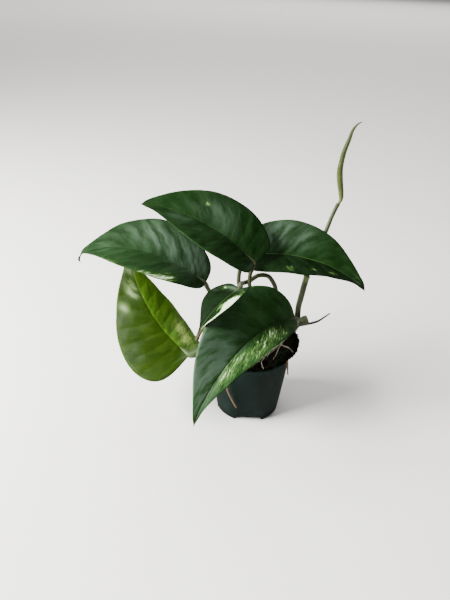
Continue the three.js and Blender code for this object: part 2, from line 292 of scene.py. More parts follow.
# %% A material from a recipe
def new_material(name):
    material = bpy.data.materials.new(name)
    material.use_nodes = True
    material.node_tree.nodes.clear()
    return material, Recipe(material.node_tree)


def opaque(color):
    """A signal as it is, or a colour of three numbers with the fourth one that sockets want."""
    return color if isinstance(color, Signal) else (*color, 1)


def finish_material(recipe, color, roughness, height=None, relief_mm=0.0, gloss=0.22):
    """Closes a material: the height, if there is one, becomes a fine relief."""
    looks = {"Base Color": opaque(color), "Roughness": roughness, "Specular IOR Level": gloss}
    if height is not None:
        relief = {"Height": height, "Distance": relief_mm * MM, "Strength": 1.0}
        looks["Normal"] = recipe.add("ShaderNodeBump", None, relief)
    shader = recipe.add("ShaderNodeBsdfPrincipled", None, looks)
    recipe.add("ShaderNodeOutputMaterial", None, {0: shader})


def attribute(recipe, name):
    return recipe.add("ShaderNodeAttribute", {"attribute_name": name}, None, "Fac")


def mix(recipe, factor, first, second):
    values = {0: factor, 6: opaque(first), 7: opaque(second)}
    return recipe.add("ShaderNodeMix", {"data_type": "RGBA"}, values, 2)


def object_place(recipe):
    return recipe.add("ShaderNodeTexCoord", None, None, "Object")


# %% [markdown]
# The blade is the plant's main form, and its shape follows a rule. The midrib bends through the
# air by a pitch, a droop and a sweep, and its last part hooks down. A hand-modelled leaf would
# fit one leaf only; a tree of nodes with named inputs makes all six.

# %% The midrib as a rule
BLADE_INPUTS = [
    "Heading", "Pitch", "Droop", "Hook", "Sweep", "Roll", "Twist", "Length", "Left", "Right",
    "Fold left", "Fold right", "Curl", "Round", "Broad", "Taper", "Lobe left", "Lobe right",
    "Thickness", "Veins", "Quilt", "Unevenness", "Edge wave", "Drip tip", "Seed",
]
MIDRIB_STEPS = 120
# The share of the leaf's length from which its tip hooks down.
HOOK_START = 0.8


def leaf_axes(recipe, given, fraction):
    """The unit vectors along the leaf, to its left and up from its face, at a fraction of its length."""
    hooked = recipe.at_least(0.0, (fraction - HOOK_START) / (1 - HOOK_START)) ** 2
    pitch = (given["Pitch"] - given["Droop"] * fraction - given["Hook"] * hooked) * DEGREE
    heading = (given["Heading"] + given["Sweep"] * fraction) * DEGREE
    roll = (given["Roll"] + given["Twist"] * fraction) * DEGREE
    level_part = recipe.cosine(pitch)
    ahead = level_part * recipe.cosine(heading)
    beside = level_part * recipe.sine(heading)
    along = recipe.combine(ahead, beside, recipe.sine(pitch))
    level = recipe.combine(recipe.sine(heading) * -1, recipe.cosine(heading), 0.0)
    upright = recipe.vector("CROSS_PRODUCT", along, level)
    side = level * recipe.cosine(roll) + upright * recipe.sine(roll)
    up = upright * recipe.cosine(roll) - level * recipe.sine(roll)
    return along, side, up


def midrib_curve(recipe, given):
    """A line of points, each one small step further along the leaf than the last."""
    count = {"Count": MIDRIB_STEPS + 1, "Offset": (0, 0, 0)}
    line = recipe.add("GeometryNodeMeshLine", None, count)
    index = recipe.add("GeometryNodeInputIndex")
    along, _, _ = leaf_axes(recipe, given, (index + 0.5) / MIDRIB_STEPS)
    step = along * (given["Length"] / MIDRIB_STEPS)
    settings = {"data_type": "FLOAT_VECTOR", "domain": "POINT"}
    walked = recipe.add("GeometryNodeAccumulateField", settings, {"Value": step}, "Trailing")
    moved = {"Geometry": line, "Position": given["Base"] + walked}
    line = recipe.add("GeometryNodeSetPosition", None, moved)
    return recipe.add("GeometryNodeMeshToCurve", None, {"Mesh": line})


# %% [markdown]
# The side veins leave the midrib and run forward to the edge, so the rows of the blade's grid
# run the same way, and the soft swelling between the veins follows the rows. The outline is a
# stretched sine with two lobes at the base and a drip tip. One grid goes round the blade, over
# its upper face and back under it, so that the thin blade is closed at its edge.

# %% The blade's grid and outline
BLADE_ROWS = 200
BLADE_COLUMNS = 24
# The columns crowd towards the midrib, where the relief is finest.
CROWDING = 1.5
# The exponent that bends a row on its way out to the edge.
ROW_BEND = 1.3
# Shares of the leaf's length.
LOBE_REACH = 0.08
ROW_LAG = 0.10
DRIP_TIP = {"middle": 0.945, "spread": 0.05, "closing": 0.955}


def choose(is_left, left, right):
    return right + is_left * (left - right)


def blade_grid(recipe):
    """A flat grid and, for each point, its face, its half, its place across and its row."""
    size = {"Size X": 1.0, "Size Y": 1.0}
    counts = {"Vertices X": 4 * BLADE_COLUMNS + 1, "Vertices Y": BLADE_ROWS + 1}
    grid = recipe.add("GeometryNodeMeshGrid", None, {**size, **counts})
    x, y, _ = recipe.separate(recipe.add("GeometryNodeInputPosition"))
    loop = x + 0.5
    face = 1 - 2 * recipe.math("GREATER_THAN", loop, 0.5)
    signed = recipe.distance(4 * loop - 2) - 1
    is_left = recipe.math("GREATER_THAN", signed, 0.0)
    across = recipe.distance(signed) ** CROWDING
    row = (1 - recipe.cosine(math.pi * (y + 0.5))) / 2
    return grid, face, is_left, across, recipe.at_most(1.0, recipe.at_least(0.0, row))


def blade_outline(recipe, given, is_left, across, row):
    """The half's width at a row, and how far along the leaf the row is at this place across."""
    half = choose(is_left, given["Left"], given["Right"])
    swell = recipe.at_least(0.0, recipe.sine(math.pi * row ** given["Broad"]))
    drip = recipe.bell(row, DRIP_TIP["middle"], DRIP_TIP["spread"])
    drip = drip * recipe.between(1.0, DRIP_TIP["closing"], row)
    width = half * swell ** (given["Round"] + given["Taper"] * row) + given["Drip tip"] * drip
    lobe = row / LOBE_REACH
    lobed = choose(is_left, given["Lobe left"], given["Lobe right"])
    lobed = lobed * lobe * recipe.math("EXPONENT", 1 - lobe)
    start = row - ROW_LAG * recipe.sine(math.pi * row)
    return width, start + (row - lobed - start) * across ** ROW_BEND


# %% [markdown]
# Across the leaf, each half folds up from the midrib and curls from there to its edge. The
# relief is a rib below and a crease above, the swelling between side veins, a slightly uneven
# face and a waved edge. All of it fades out at the base and the tip.

# %% The blade's section and relief
RIB = {"width": 0.9 * MM, "height": 0.7 * MM, "thinning": 0.75}
CREASE = {"width": 0.5 * MM, "depth": 0.25 * MM}
# The left half's veins are shifted by a part of a step, so that the halves don't mirror.
SIDE_SHIFT = 0.35
LUMP_SIZE = 14 * MM
# Radians of the wave from base to tip, and from one leaf's seed to the next.
EDGE_WAVES = 23
EDGE_SHIFT = 40


def blade_section(recipe, given, is_left, across, width, fraction):
    """A point of the blade's middle sheet, and the direction straight up from it."""
    ahead = recipe.at_least(0.0, fraction)
    settings = {"mode": "FACTOR", "use_all_curves": True}
    values = {"Curves": midrib_curve(recipe, given), "Factor": ahead}
    on_midrib = recipe.add("GeometryNodeSampleCurve", settings, values, "Position")
    straight, _, _ = leaf_axes(recipe, given, 0.0)
    behind = recipe.at_most(0.0, fraction)
    on_midrib = on_midrib + straight * (behind * given["Length"])
    _, side, up = leaf_axes(recipe, given, ahead)
    outward = 2 * is_left - 1
    fold = choose(is_left, given["Fold left"], given["Fold right"]) * DEGREE
    curl = given["Curl"] * DEGREE
    tilt = fold + curl * across
    lateral = width * (recipe.sine(tilt) - recipe.sine(fold)) / curl
    height = width * (recipe.cosine(fold) - recipe.cosine(tilt)) / curl
    middle = on_midrib + side * (lateral * outward) + up * height
    return middle, up * recipe.cosine(tilt) - side * (recipe.sine(tilt) * outward)


def blade_relief(recipe, given, is_left, across, row, middle):
    """How far the sheet is lifted off its plain form."""
    closing = recipe.at_least(0.0, recipe.sine(math.pi * row))
    vein_phase = row * given["Veins"] + SIDE_SHIFT * is_left
    swelling = recipe.distance(recipe.sine(math.pi * vein_phase)) ** 0.7 - 0.6
    fading = recipe.between(0.0, 0.15, across) * recipe.between(1.0, 0.8, across) * closing ** 0.5
    lump_place = middle + recipe.combine(given["Seed"], 0.0, 0.0)
    lumps = recipe.noise(lump_place, 1 / LUMP_SIZE, 1.5) - 0.5
    waving = recipe.sine(row * EDGE_WAVES + given["Seed"] * EDGE_SHIFT) * across ** 3
    lift = given["Quilt"] * swelling * fading + 2 * given["Unevenness"] * lumps * closing ** 0.5
    return lift + given["Edge wave"] * waving * closing


def blade_skin(recipe, given, across, row, below, from_midrib):
    """How far the skin stands off the sheet: half the blade's thickness, the rib and the crease."""
    closing = recipe.at_least(0.0, recipe.sine(math.pi * row))
    to_edge = recipe.math("SQRT", recipe.at_least(0.0, 1 - across ** 6)) * closing ** 0.25
    rib = recipe.bell(from_midrib, 0.0, RIB["width"]) * (1 - RIB["thinning"] * row) * to_edge
    crease = recipe.bell(from_midrib, 0.0, CREASE["width"]) * to_edge
    plain = given["Thickness"] / 2 * to_edge
    return plain + below * RIB["height"] * rib - (1 - below) * CREASE["depth"] * crease


# %% [markdown]
# The finish has to know where on the leaf a point lies. The grid's own places are gone once it
# has bent, so the row, the place across, the face and the way from the midrib are kept first.

# %% The blade's tree
def blade_tree():
    recipe, given = shape_tree("leaf_blade", BLADE_INPUTS, ["Base"])
    grid, face, is_left, across, row = blade_grid(recipe)
    width, fraction = blade_outline(recipe, given, is_left, across, row)
    middle, normal = blade_section(recipe, given, is_left, across, width, fraction)
    lift = blade_relief(recipe, given, is_left, across, row, middle)
    below = recipe.math("LESS_THAN", face, 0.0)
    from_midrib = across * width
    skin = blade_skin(recipe, given, across, row, below, from_midrib)
    kept = grid
    outward = 2 * is_left - 1
    known = {"along": row, "across": across * outward, "under": below, "reach": from_midrib / MM}
    for label, value in known.items():
        kept = store(recipe, kept, label, value)
    bent = {"Geometry": kept, "Position": middle + normal * (lift + face * skin)}
    moved = recipe.add("GeometryNodeSetPosition", None, bent)
    seam = {"Geometry": moved, "Distance": 0.002 * MM}
    merged = recipe.add("GeometryNodeMergeByDistance", None, seam)
    close_tree(recipe, merged, given["Material"])
    return recipe


blade_recipe = blade_tree()
print("the blade's rule takes", len(blade_recipe.tree.nodes), "nodes")

# %% [markdown]
# The six leaves differ in their values only. They are the same values as in the plant's frame:
# lengths in millimetres, angles in degrees, heading 0 towards +X and 90 towards +Y.

# %% Leaf values
LEAF_DEFAULTS = {
    "Round": 0.61, "Curl": -7, "Hook": 15, "Thickness": 0.5, "Veins": 11, "Quilt": 0.22,
    "Unevenness": 0.8, "Edge wave": 0.3, "Drip tip": 0.5,
}
LEAVES = {
    "top": {
        "Base": (-1.5, 3, 113.5), "Heading": 163, "Pitch": 43, "Droop": 41, "Sweep": 9, "Roll": -19,
        "Twist": -18, "Length": 82.5, "Left": 20.5, "Right": 24, "Fold left": 18, "Fold right": 21,
        "Broad": 0.62, "Taper": 0.45, "Lobe left": 0.04, "Lobe right": 0.05, "Seed": 1,
    },
    "left": {
        "Base": (-32.5, 4, 97), "Heading": 176, "Pitch": 42, "Droop": 78, "Hook": 65, "Sweep": -16,
        "Roll": -19, "Twist": 1, "Length": 101, "Left": 21, "Right": 26.5, "Fold left": 15,
        "Fold right": 14, "Broad": 0.71, "Taper": 0.95, "Lobe left": 0, "Lobe right": 0.02, "Seed": 2,
        "Drip tip": 2.3,
    },
    "right": {
        "Base": (0, 20, 111), "Heading": -6, "Pitch": 12, "Droop": 46, "Sweep": -13, "Roll": 37,
        "Twist": -17, "Length": 77, "Left": 23.5, "Right": 20, "Fold left": 21, "Fold right": 29,
        "Broad": 0.59, "Taper": 0.5, "Lobe left": 0.07, "Lobe right": 0.12, "Seed": 3,
        "Drip tip": 1.1,
    },
    "low": {
        "Base": (-41.5, -10, 48), "Heading": 150, "Pitch": 16.5, "Droop": -49.5, "Hook": 0, "Sweep": -23.5,
        "Roll": -2.5, "Twist": -35, "Length": 82.5, "Left": 33.5, "Right": 23.5, "Fold left": -11,
        "Fold right": -18, "Curl": -12, "Broad": 0.47, "Taper": 0.32, "Lobe left": 0.01,
        "Lobe right": 0.07, "Seed": 4, "Quilt": 0.45, "Veins": 9, "Drip tip": 0.1,
    },
    "front": {
        "Base": (26.5, -6, 78.5), "Heading": 227, "Pitch": 29, "Droop": 85.5, "Sweep": 7, "Roll": -30,
        "Twist": 21, "Length": 108.5, "Left": 14.5, "Right": 28, "Fold left": 20, "Fold right": 30,
        "Broad": 0.72, "Taper": 0.77, "Lobe left": -0.03, "Lobe right": -0.01, "Seed": 5,
    },
    "small": {
        "Base": (-11, -24.2, 112.1), "Heading": 222, "Pitch": -8, "Droop": 42, "Sweep": 4, "Roll": 16,
        "Twist": 1, "Length": 38, "Left": 12.5, "Right": 14, "Fold left": 15, "Fold right": 15,
        "Broad": 0.65, "Taper": 1.15, "Lobe left": 0.13, "Lobe right": 0.05, "Seed": 6,
        "Quilt": 0.06, "Unevenness": 0.2, "Edge wave": 0.1,
    },
}
IN_MM = ("Length", "Left", "Right", "Thickness", "Quilt", "Unevenness", "Edge wave", "Drip tip")


def in_metres(values):
    numbers = {name: value for name, value in values.items() if name != "Base"}
    ready = {name: value * MM if name in IN_MM else float(value) for name, value in numbers.items()}
    ready["Base"] = tuple(coordinate * MM for coordinate in values["Base"])
    return ready


print("blades are", [leaf["Length"] for leaf in LEAVES.values()], "mm long")

# %% [markdown]
# A variegated leaf lacks its green in places. The pale tissue comes in strokes that run with
# the side veins, and in whole patches. So the finish has a density of pale tissue, made of a
# few broad bumps where the patches are, and a noise that is stretched along the veins decides
# where the strokes lie. A few of the bumps are painted highlights rather than pale tissue. The
# places of the bumps are fractions of the leaf: along it from base to tip, and across from -1
# at the right edge to 1 at the left.

# %% Colours and patches of the leaves
# The grey-green sheen colour in each set is a painted reflection of the window on the glossy skin.
DARK_LEAF = {
    "deep": (0.0030, 0.0138, 0.0018), "green": (0.0125, 0.0340, 0.0095), "pale": (0.075, 0.150, 0.035),
    "cream": (0.50, 0.60, 0.40), "under": (0.020, 0.052, 0.014), "painted_sheen": (0.050, 0.083, 0.052),
}
YOUNG_LEAF = {
    "deep": (0.0132, 0.0330, 0.0022), "green": (0.0290, 0.0600, 0.0045), "pale": (0.120, 0.205, 0.035),
    "cream": (0.28, 0.39, 0.085), "under": (0.035, 0.085, 0.012), "painted_sheen": (0.155, 0.220, 0.100),
}
DRY = (0.012, 0.014, 0.004)
# Each patch: centre along, centre across, half length, half width, density. Most are pale tissue; some are
# painted highlights, such as the top leaf's small spot at 0.58 and the low leaf's patch near its tip.
PALE_PATCHES_AND_HIGHLIGHTS = {
    "top": [(0.58, -0.60, 0.03, 0.10, 0.55), (0.30, -0.5, 0.25, 0.5, 0.10), (0.75, 0.4, 0.1, 0.4, 0.12)],
    "left": [(0.24, 0.78, 0.06, 0.22, 0.62), (0.34, 0.95, 0.10, 0.15, 0.75), (0.6, 0.95, 0.12, 0.10, 0.45),
             (0.5, -0.5, 0.2, 0.6, 0.12)],
    "right": [(0.35, -0.78, 0.05, 0.15, 0.48), (0.55, -0.65, 0.04, 0.15, 0.48),
              (0.70, -0.6, 0.05, 0.2, 0.52), (0.25, 0.5, 0.1, 0.4, 0.25), (0.9, 0.3, 0.06, 0.6, 0.35)],
    "low": [(0.17, -0.40, 0.06, 0.30, 0.80), (0.30, -0.60, 0.10, 0.30, 0.80), (0.25, -0.5, 0.15, 0.4, 0.2),
            (0.80, 0.35, 0.08, 0.3, 0.45)],
    "front": [(0.37, 0.30, 0.06, 0.25, 0.35), (0.27, 0.75, 0.06, 0.2, 0.32), (0.74, 0.40, 0.12, 0.5, 0.50),
              (0.45, 0.55, 0.25, 0.5, 0.52), (0.85, -0.2, 0.08, 0.5, 0.2), (0.10, 0.7, 0.05, 0.5, 0.3),
              (0.42, 1.0, 0.17, 0.035, 1.5)],
    "small": [(0.40, 0.86, 0.13, 0.36, 2.1), (0.68, 1.0, 0.20, 0.13, 1.9), (0.12, 0.3, 0.08, 0.5, 0.40),
              (0.18, -0.6, 0.09, 0.3, 0.50), (0.55, 0.35, 0.12, 0.3, 0.45)],
}
# Soft grey-green areas of painted sheen, a reflection of the window light painted into the colour, each with
# a strength as its last number.
PAINTED_SHEENS = {
    "top": [(0.50, -0.45, 0.14, 0.35, 0.35), (0.75, 0.35, 0.1, 0.3, 0.15), (0.04, 0.4, 0.05, 0.5, 0.35)],
    "left": [(0.80, -0.10, 0.12, 0.9, 0.12), (0.50, -0.60, 0.12, 0.35, 0.55),
             (0.40, -0.25, 0.10, 0.25, 0.30), (0.20, -0.45, 0.13, 0.45, 1.05)],
    "right": [(0.20, 0.6, 0.11, 0.35, 1.5), (0.42, 0.55, 0.1, 0.35, 0.45), (0.93, 0.0, 0.05, 0.8, 0.4)],
    "low": [(0.77, 0.38, 0.06, 0.24, 0.8), (0.65, 0.75, 0.03, 0.15, 0.6), (0.92, 0.2, 0.04, 0.8, 0.5),
            (0.03, -0.5, 0.05, 0.5, 0.6)],
    "front": [(0.74, -0.5, 0.15, 0.5, 1.4), (0.66, -0.97, 0.25, 0.10, 0.4), (0.45, -0.85, 0.15, 0.12, 0.3),
              (0.88, 0.4, 0.08, 0.5, 0.4)],
    "small": [(0.10, -0.3, 0.07, 0.5, 0.5), (0.3, -0.8, 0.1, 0.15, 0.2)],
}
# How light the green is on the left and on the right half: partly the halves' own colour, partly painted
# light, which lightens a half that lies in shade and darkens one that faces the window.
TONES_AND_PAINTED_LIGHT = {
    "top": (0.75, 0.95), "left": (0.95, 0.95), "right": (1.0, 0.4),
    "low": (0.67, 2.8), "front": (1.3, 2.1), "small": (0.4, 0.35),
}
GLOSS = {"top": 0.015, "left": 0.025, "right": 0.015, "low": 0.04, "front": 0.015, "small": 0.02}
ROUGHNESS = dict.fromkeys(LEAVES, 0.45) | {"low": 0.26}
# How brown the tip is, and how clearly the midrib shows.
DRY_TIPS = {"top": 0.3, "left": 0.9, "right": 0.85, "low": 0.0, "front": 0.5, "small": 0.3}
RIBS = {"top": 0.10, "left": 0.05, "right": 0.35, "low": 0.0, "front": 0.12, "small": 0.25}
VEIN_LEAN = 0.12


# %% [markdown]
# The leaf is painted in layers, the lowest first: the two greens between the veins, lighter or
# darker per half partly as painted light, the painted sheen of reflected window light, the halo
# round each stroke, the pale and the cream tissue with a few painted highlights, the midrib, the
# margin and the dry tip. The underside is paler and shows the pale tissue only faintly.

# %% Leaf finish
def bumps(recipe, along, across, patches, start):
    """A start value with the soft bump of every patch added to it."""
    total = start
    for centre, offset, spread, width, strength in patches:
        bump = recipe.bell(along, centre, spread) * recipe.bell(across, offset, width)
        total = total + bump * strength
    return total


def leaf_material(name, colors, length, half_width, seed):
    material, recipe = new_material("leaf_" + name)
    along = attribute(recipe, "along")
    across = attribute(recipe, "across")
    under = attribute(recipe, "under")
    reach = attribute(recipe, "reach")
    side = recipe.distance(across)
    clouds = recipe.noise(object_place(recipe), 1 / (9 * MM), 4, 0.55)
    # Millimetres with the side veins and across them; the strokes lean forward and waver.
    with_vein = across * half_width
    cross_vein = (along - VEIN_LEAN * side) * length + (clouds - 0.5) * 7

    def vein_noise(fine, stretch, layer, detail, roughness, distortion=0.0):
        spot = recipe.combine(cross_vein * fine, with_vein * stretch, layer)
        return recipe.noise(spot, 1.0, detail, roughness, distortion)

    strokes = vein_noise(0.50, 0.16, float(seed), 5, 0.62, 0.6)
    flecks = vein_noise(1.3, 0.45, seed + 7.0, 3, 0.6, 0.3)
    veins = vein_noise(0.16, 0.045, seed + 3.0, 3, 0.5)
    pores = vein_noise(2.5, 0.9, 3.0, 3, 0.6)

    grain = (strokes * 0.7 + flecks * 0.3 - 0.30) / 0.40
    # The pale bumps are mostly pale tissue, with a few painted highlights among them.
    surplus = bumps(recipe, along, across, PALE_PATCHES_AND_HIGHLIGHTS[name], -0.05) + grain - 1
    halo = recipe.between(-0.30, 0.05, surplus)
    pale_part = recipe.between(-0.06, 0.10, surplus)
    cream_part = recipe.between(0.10, 0.42, surplus)
    # Painted sheen: reflected light painted into the colour, broken up along the vein noise.
    painted_sheen = bumps(recipe, along, across, PAINTED_SHEENS[name], 0.0)
    painted_sheen = recipe.at_most(1.0, painted_sheen * (0.25 + 1.5 * recipe.between(0.35, 0.65, veins)))
    rib = recipe.bell(reach, 0.0, 0.35) * RIBS[name]
    margin = recipe.between(0.975, 1.0, side)
    dry_tip = recipe.between(0.92, 0.975, along) * DRY_TIPS[name]

    shade = recipe.between(0.30, 0.72, clouds * 0.45 + veins * 0.55)
    # Each half's green is lightened or darkened, partly as painted light.
    left_tone_and_light, right_tone_and_light = TONES_AND_PAINTED_LIGHT[name]
    tone_and_light = right_tone_and_light + (left_tone_and_light - right_tone_and_light) * recipe.between(-0.02, 0.02, across)
    upper = recipe.vector("SCALE", mix(recipe, shade, colors["deep"], colors["green"]), scale=tone_and_light)
    for factor, color in (
        (painted_sheen, colors["painted_sheen"]), (halo * 0.25, colors["pale"]), (pale_part * 0.85, colors["pale"]),
        (cream_part, colors["cream"]), (rib, colors["pale"]), (margin * 0.4, colors["pale"]), (dry_tip, DRY),
    ):
        upper = mix(recipe, factor, upper, color)
    lower = mix(recipe, pale_part * 0.6, colors["under"], colors["pale"])
    color = mix(recipe, under, upper, lower)
    roughness = ROUGHNESS[name] + 0.16 * clouds + 0.16 * under + 0.08 * pale_part
    finish_material(recipe, color, roughness, veins * 2.0 + pores * 0.35, 0.35, GLOSS[name])
    return material


# %% [markdown]
# Each leaf now gets its own finish and its own blade. The low leaf is the youngest, so it has
# the light greens.

# %% Blades
for name, own in LEAVES.items():
    values = {**LEAF_DEFAULTS, **own}
    colors = YOUNG_LEAF if name == "low" else DARK_LEAF
    half_width = max(values["Left"], values["Right"])
    finish = leaf_material(name, colors, values["Length"], half_width, values["Seed"])
    blade = grow("leaf_blade_" + name, blade_recipe, {**in_metres(values), "Material": finish})
    hand_over(blade, "blade_" + name, "young_blade" if name == "low" else "blade")

# %% [markdown]
# Petioles, the stem, the shoot and the roots are rods that follow a path. A path is a smooth
# curve through a few points, and a tree of nodes sweeps a closed section along it. The rule for
# the radius differs: a petiole thickens at its foot, where it clasps the stem, and has a small
# knee below the blade. A root thins out to a rounded tip.

# %% Smooth paths
SPAN_STEPS = 24


def smooth_path(points):
    """A centripetal Catmull-Rom curve through points in millimetres, as points in metres."""
    points = np.array(points, float) * MM
    before = 2 * points[0] - points[1]
    after = 2 * points[-1] - points[-2]
    points = np.vstack([before, points, after])
    path = []
    for a, b, c, d in zip(points, points[1:], points[2:], points[3:]):
        ab, bc, cd = (math.sqrt(np.linalg.norm(q - p)) for p, q in ((a, b), (b, c), (c, d)))
        leave = ((b - a) / ab - (c - a) / (ab + bc) + (c - b) / bc) * bc
        arrive = ((c - b) / bc - (d - b) / (bc + cd) + (d - c) / cd) * bc
        for u in np.arange(SPAN_STEPS) / SPAN_STEPS:
            path.append(b * (2 * u**3 - 3 * u**2 + 1) + leave * (u**3 - 2 * u**2 + u)
                        + c * (3 * u**2 - 2 * u**3) + arrive * (u**3 - u**2))
    path.append(points[-2])
    return path


def path_mesh(name, *paths):
    mesh = bpy.data.meshes.new(name + "_path")
    corners, edges = [], []
    for path in paths:
        first = len(corners)
        corners += [tuple(point) for point in path]
        edges += [(i, i + 1) for i in range(first, len(corners) - 1)]
    mesh.from_pydata(corners, edges, [])
    return mesh


# %% [markdown]
# One function writes the tree for every kind of rod. It takes the rule for the radius and, for
# a rod that isn't round or that winds, also a rule for the section or the tilt. The place along
# the rod and round it is kept on the mesh, because the finish changes from foot to tip.

# %% The rod as a rule
ROD_INPUTS = ["Unevenness", "Grain", "Seed"]
SIDES_OF_A_FACE = 4
CUT = {"share": 0.78, "depth": 0.45 * MM}


def hollow_caps(recipe, mesh):
    """Sinks the flat end of a rod a little inside its rim, as a cut that has dried."""
    corners = recipe.add("GeometryNodeInputMeshFaceNeighbors", None, None, "Vertex Count")
    is_cap = recipe.math("GREATER_THAN", corners, SIDES_OF_A_FACE + 0.5)
    faces = {"mode": "FACES"}
    grown = {"Mesh": mesh, "Selection": is_cap, "Offset Scale": 0.0, "Individual": False}
    rim, top = recipe.add("GeometryNodeExtrudeMesh", faces, grown, ("Mesh", "Top"))
    shrunk = {"Geometry": rim, "Selection": top, "Scale": CUT["share"]}
    rim = recipe.add("GeometryNodeScaleElements", {"domain": "FACE"}, shrunk)
    sunk = {"Mesh": rim, "Selection": top, "Offset Scale": -CUT["depth"], "Individual": False}
    dish, floor_of_cut = recipe.add("GeometryNodeExtrudeMesh", faces, sunk, ("Mesh", "Top"))
    return store(recipe, dish, "cut", floor_of_cut, "FACE")


def rod_section(recipe, given, sides, section_rule):
    circle = {"Resolution": sides, "Radius": 1.0}
    section = recipe.add("GeometryNodeCurvePrimitiveCircle", {"mode": "RADIUS"}, circle)
    turn = recipe.add("GeometryNodeSplineParameter", None, None, "Factor")
    section = store(recipe, section, "turn", turn)
    if section_rule:
        spot = recipe.add("GeometryNodeInputPosition")
        moved = {"Geometry": section, "Position": spot * section_rule(recipe, given, turn)}
        section = recipe.add("GeometryNodeSetPosition", None, moved)
    return section


def rod_tree(name, floats, radius_rule, sides=24, steps=160, section_rule=None, tilt_rule=None,
             cut_end=False):
    recipe, given = shape_tree(name, ROD_INPUTS + floats, geometry=True)
    curve = recipe.add("GeometryNodeMeshToCurve", None, {"Mesh": given["Geometry"]})
    count = {"Curve": curve, "Count": steps}
    curve = recipe.add("GeometryNodeResampleCurve", {"mode": "COUNT"}, count)
    along = recipe.add("GeometryNodeSplineParameter", None, None, "Factor")
    curve = store(recipe, curve, "along", along)
    if tilt_rule:
        tilt = {"Curve": curve, "Tilt": tilt_rule(recipe, given, along)}
        curve = recipe.add("GeometryNodeSetCurveTilt", None, tilt)
    swept = {"Curve": curve, "Profile Curve": rod_section(recipe, given, sides, section_rule)}
    closed = {"Scale": radius_rule(recipe, given, along), "Fill Caps": True}
    mesh = recipe.add("GeometryNodeCurveToMesh", None, {**swept, **closed})
    if cut_end:
        mesh = hollow_caps(recipe, mesh)
    spot = recipe.add("GeometryNodeInputPosition")
    normal = recipe.add("GeometryNodeInputNormal")
    lump_place = spot + recipe.combine(given["Seed"], 0.0, 0.0)
    lumps = recipe.noise(lump_place, 1 / given["Grain"], 2) - 0.5
    lumpy = {"Geometry": mesh, "Offset": normal * (lumps * given["Unevenness"])}
    mesh = recipe.add("GeometryNodeSetPosition", None, lumpy)
    close_tree(recipe, mesh, given["Material"])
    return recipe


# %% [markdown]
# The rules themselves: what makes a petiole, a root, a stem, a stalk or a rolled leaf is how
# its radius runs from foot to tip. A petiole has a groove on top. The outer edge of a rolled
# leaf is a step that winds round it. Places are shares of the rod's length or of one turn.

# %% Rules for the rods
# Radians from foot to tip, which gives about ten rings.
RING_PHASE = 62
SHEATH_END = 0.402


def petiole_radius(recipe, given, along):
    body = given["Foot"] + (given["Tip"] - given["Foot"]) * recipe.between(0.0, 0.55, along)
    clasp = 1 + 0.35 * recipe.bell(along, 0.0, 0.07)
    knee = 1 + 0.18 * recipe.bell(along, given["Knee"], 0.035)
    taper = 1 - 0.62 * recipe.between(given["Knee"] + 0.03, 1.0, along)
    return body * clasp * knee * taper


def petiole_section(recipe, given, turn):
    return 1 - 0.16 * recipe.bell(turn, 0.25, 0.07)


def root_radius(recipe, given, along):
    rounded = recipe.math("SQRT", 1 - recipe.at_least(0.0, (along - 0.97) / 0.0302) ** 2)
    return (given["Foot"] + (given["Tip"] - given["Foot"]) * along) * rounded


def stem_radius(recipe, given, along):
    swelling = 2.5 + 0.9 * recipe.bell(along, 0.68, 0.14) + 0.55 * recipe.between(0.80, 0.97, along)
    rings = 0.16 * recipe.bell(recipe.sine(along * RING_PHASE), 1.0, 0.35)
    return (swelling + rings) * MM


def stalk_radius(recipe, given, along):
    sheathed = 2.02 - 0.6 * recipe.between(SHEATH_END + 0.003, SHEATH_END + 0.018, along)
    tapered = sheathed - 0.12 * recipe.between(0.5, 1.0, along)
    lip = 0.22 * recipe.bell(along, SHEATH_END, 0.008)
    node = 0.14 * recipe.bell(along, 0.02, 0.04)
    return (tapered + lip + node) * MM


def rolled_radius(recipe, given, along):
    swell = recipe.at_least(0.0, recipe.sine(math.pi * along ** 0.6))
    tips = recipe.at_least(0.0, recipe.sine(math.pi * along)) ** 0.3
    return (0.55 * tips + 1.5 * swell ** 0.8 + 0.03) * MM


def rolled_section(recipe, given, turn):
    step = 1.04 - 0.26 * turn
    inner_edge = 0.10 * recipe.bell(turn, 0.55, 0.03)
    return step - inner_edge


def rolled_tilt(recipe, given, along):
    return 2.6 + 3.4 * along


petiole_recipe = rod_tree("petiole", ["Foot", "Tip", "Knee"], petiole_radius,
                          section_rule=petiole_section)
root_recipe = rod_tree("root", ["Foot", "Tip"], root_radius, sides=12, steps=120)
stem_recipe = rod_tree("stem", [], stem_radius, sides=40, steps=140, cut_end=True)
stalk_recipe = rod_tree("shoot_stalk", [], stalk_radius, sides=28, steps=420)
rolled_recipe = rod_tree("rolled_leaf", [], rolled_radius, sides=64, steps=220,
                         section_rule=rolled_section, tilt_rule=rolled_tilt)
print("the petiole's rule takes", len(petiole_recipe.tree.nodes), "nodes")

# %% [markdown]
# A living rod is green with fine lengthwise streaks, and its colour changes from foot to tip. A
# root is tan and rough. Both are the same finish with other colours, so one function paints
# them, and the looks stand in a table. Old leaf rings, the cut face and the joint where the
# sheath ends are extra layers that only some rods have.

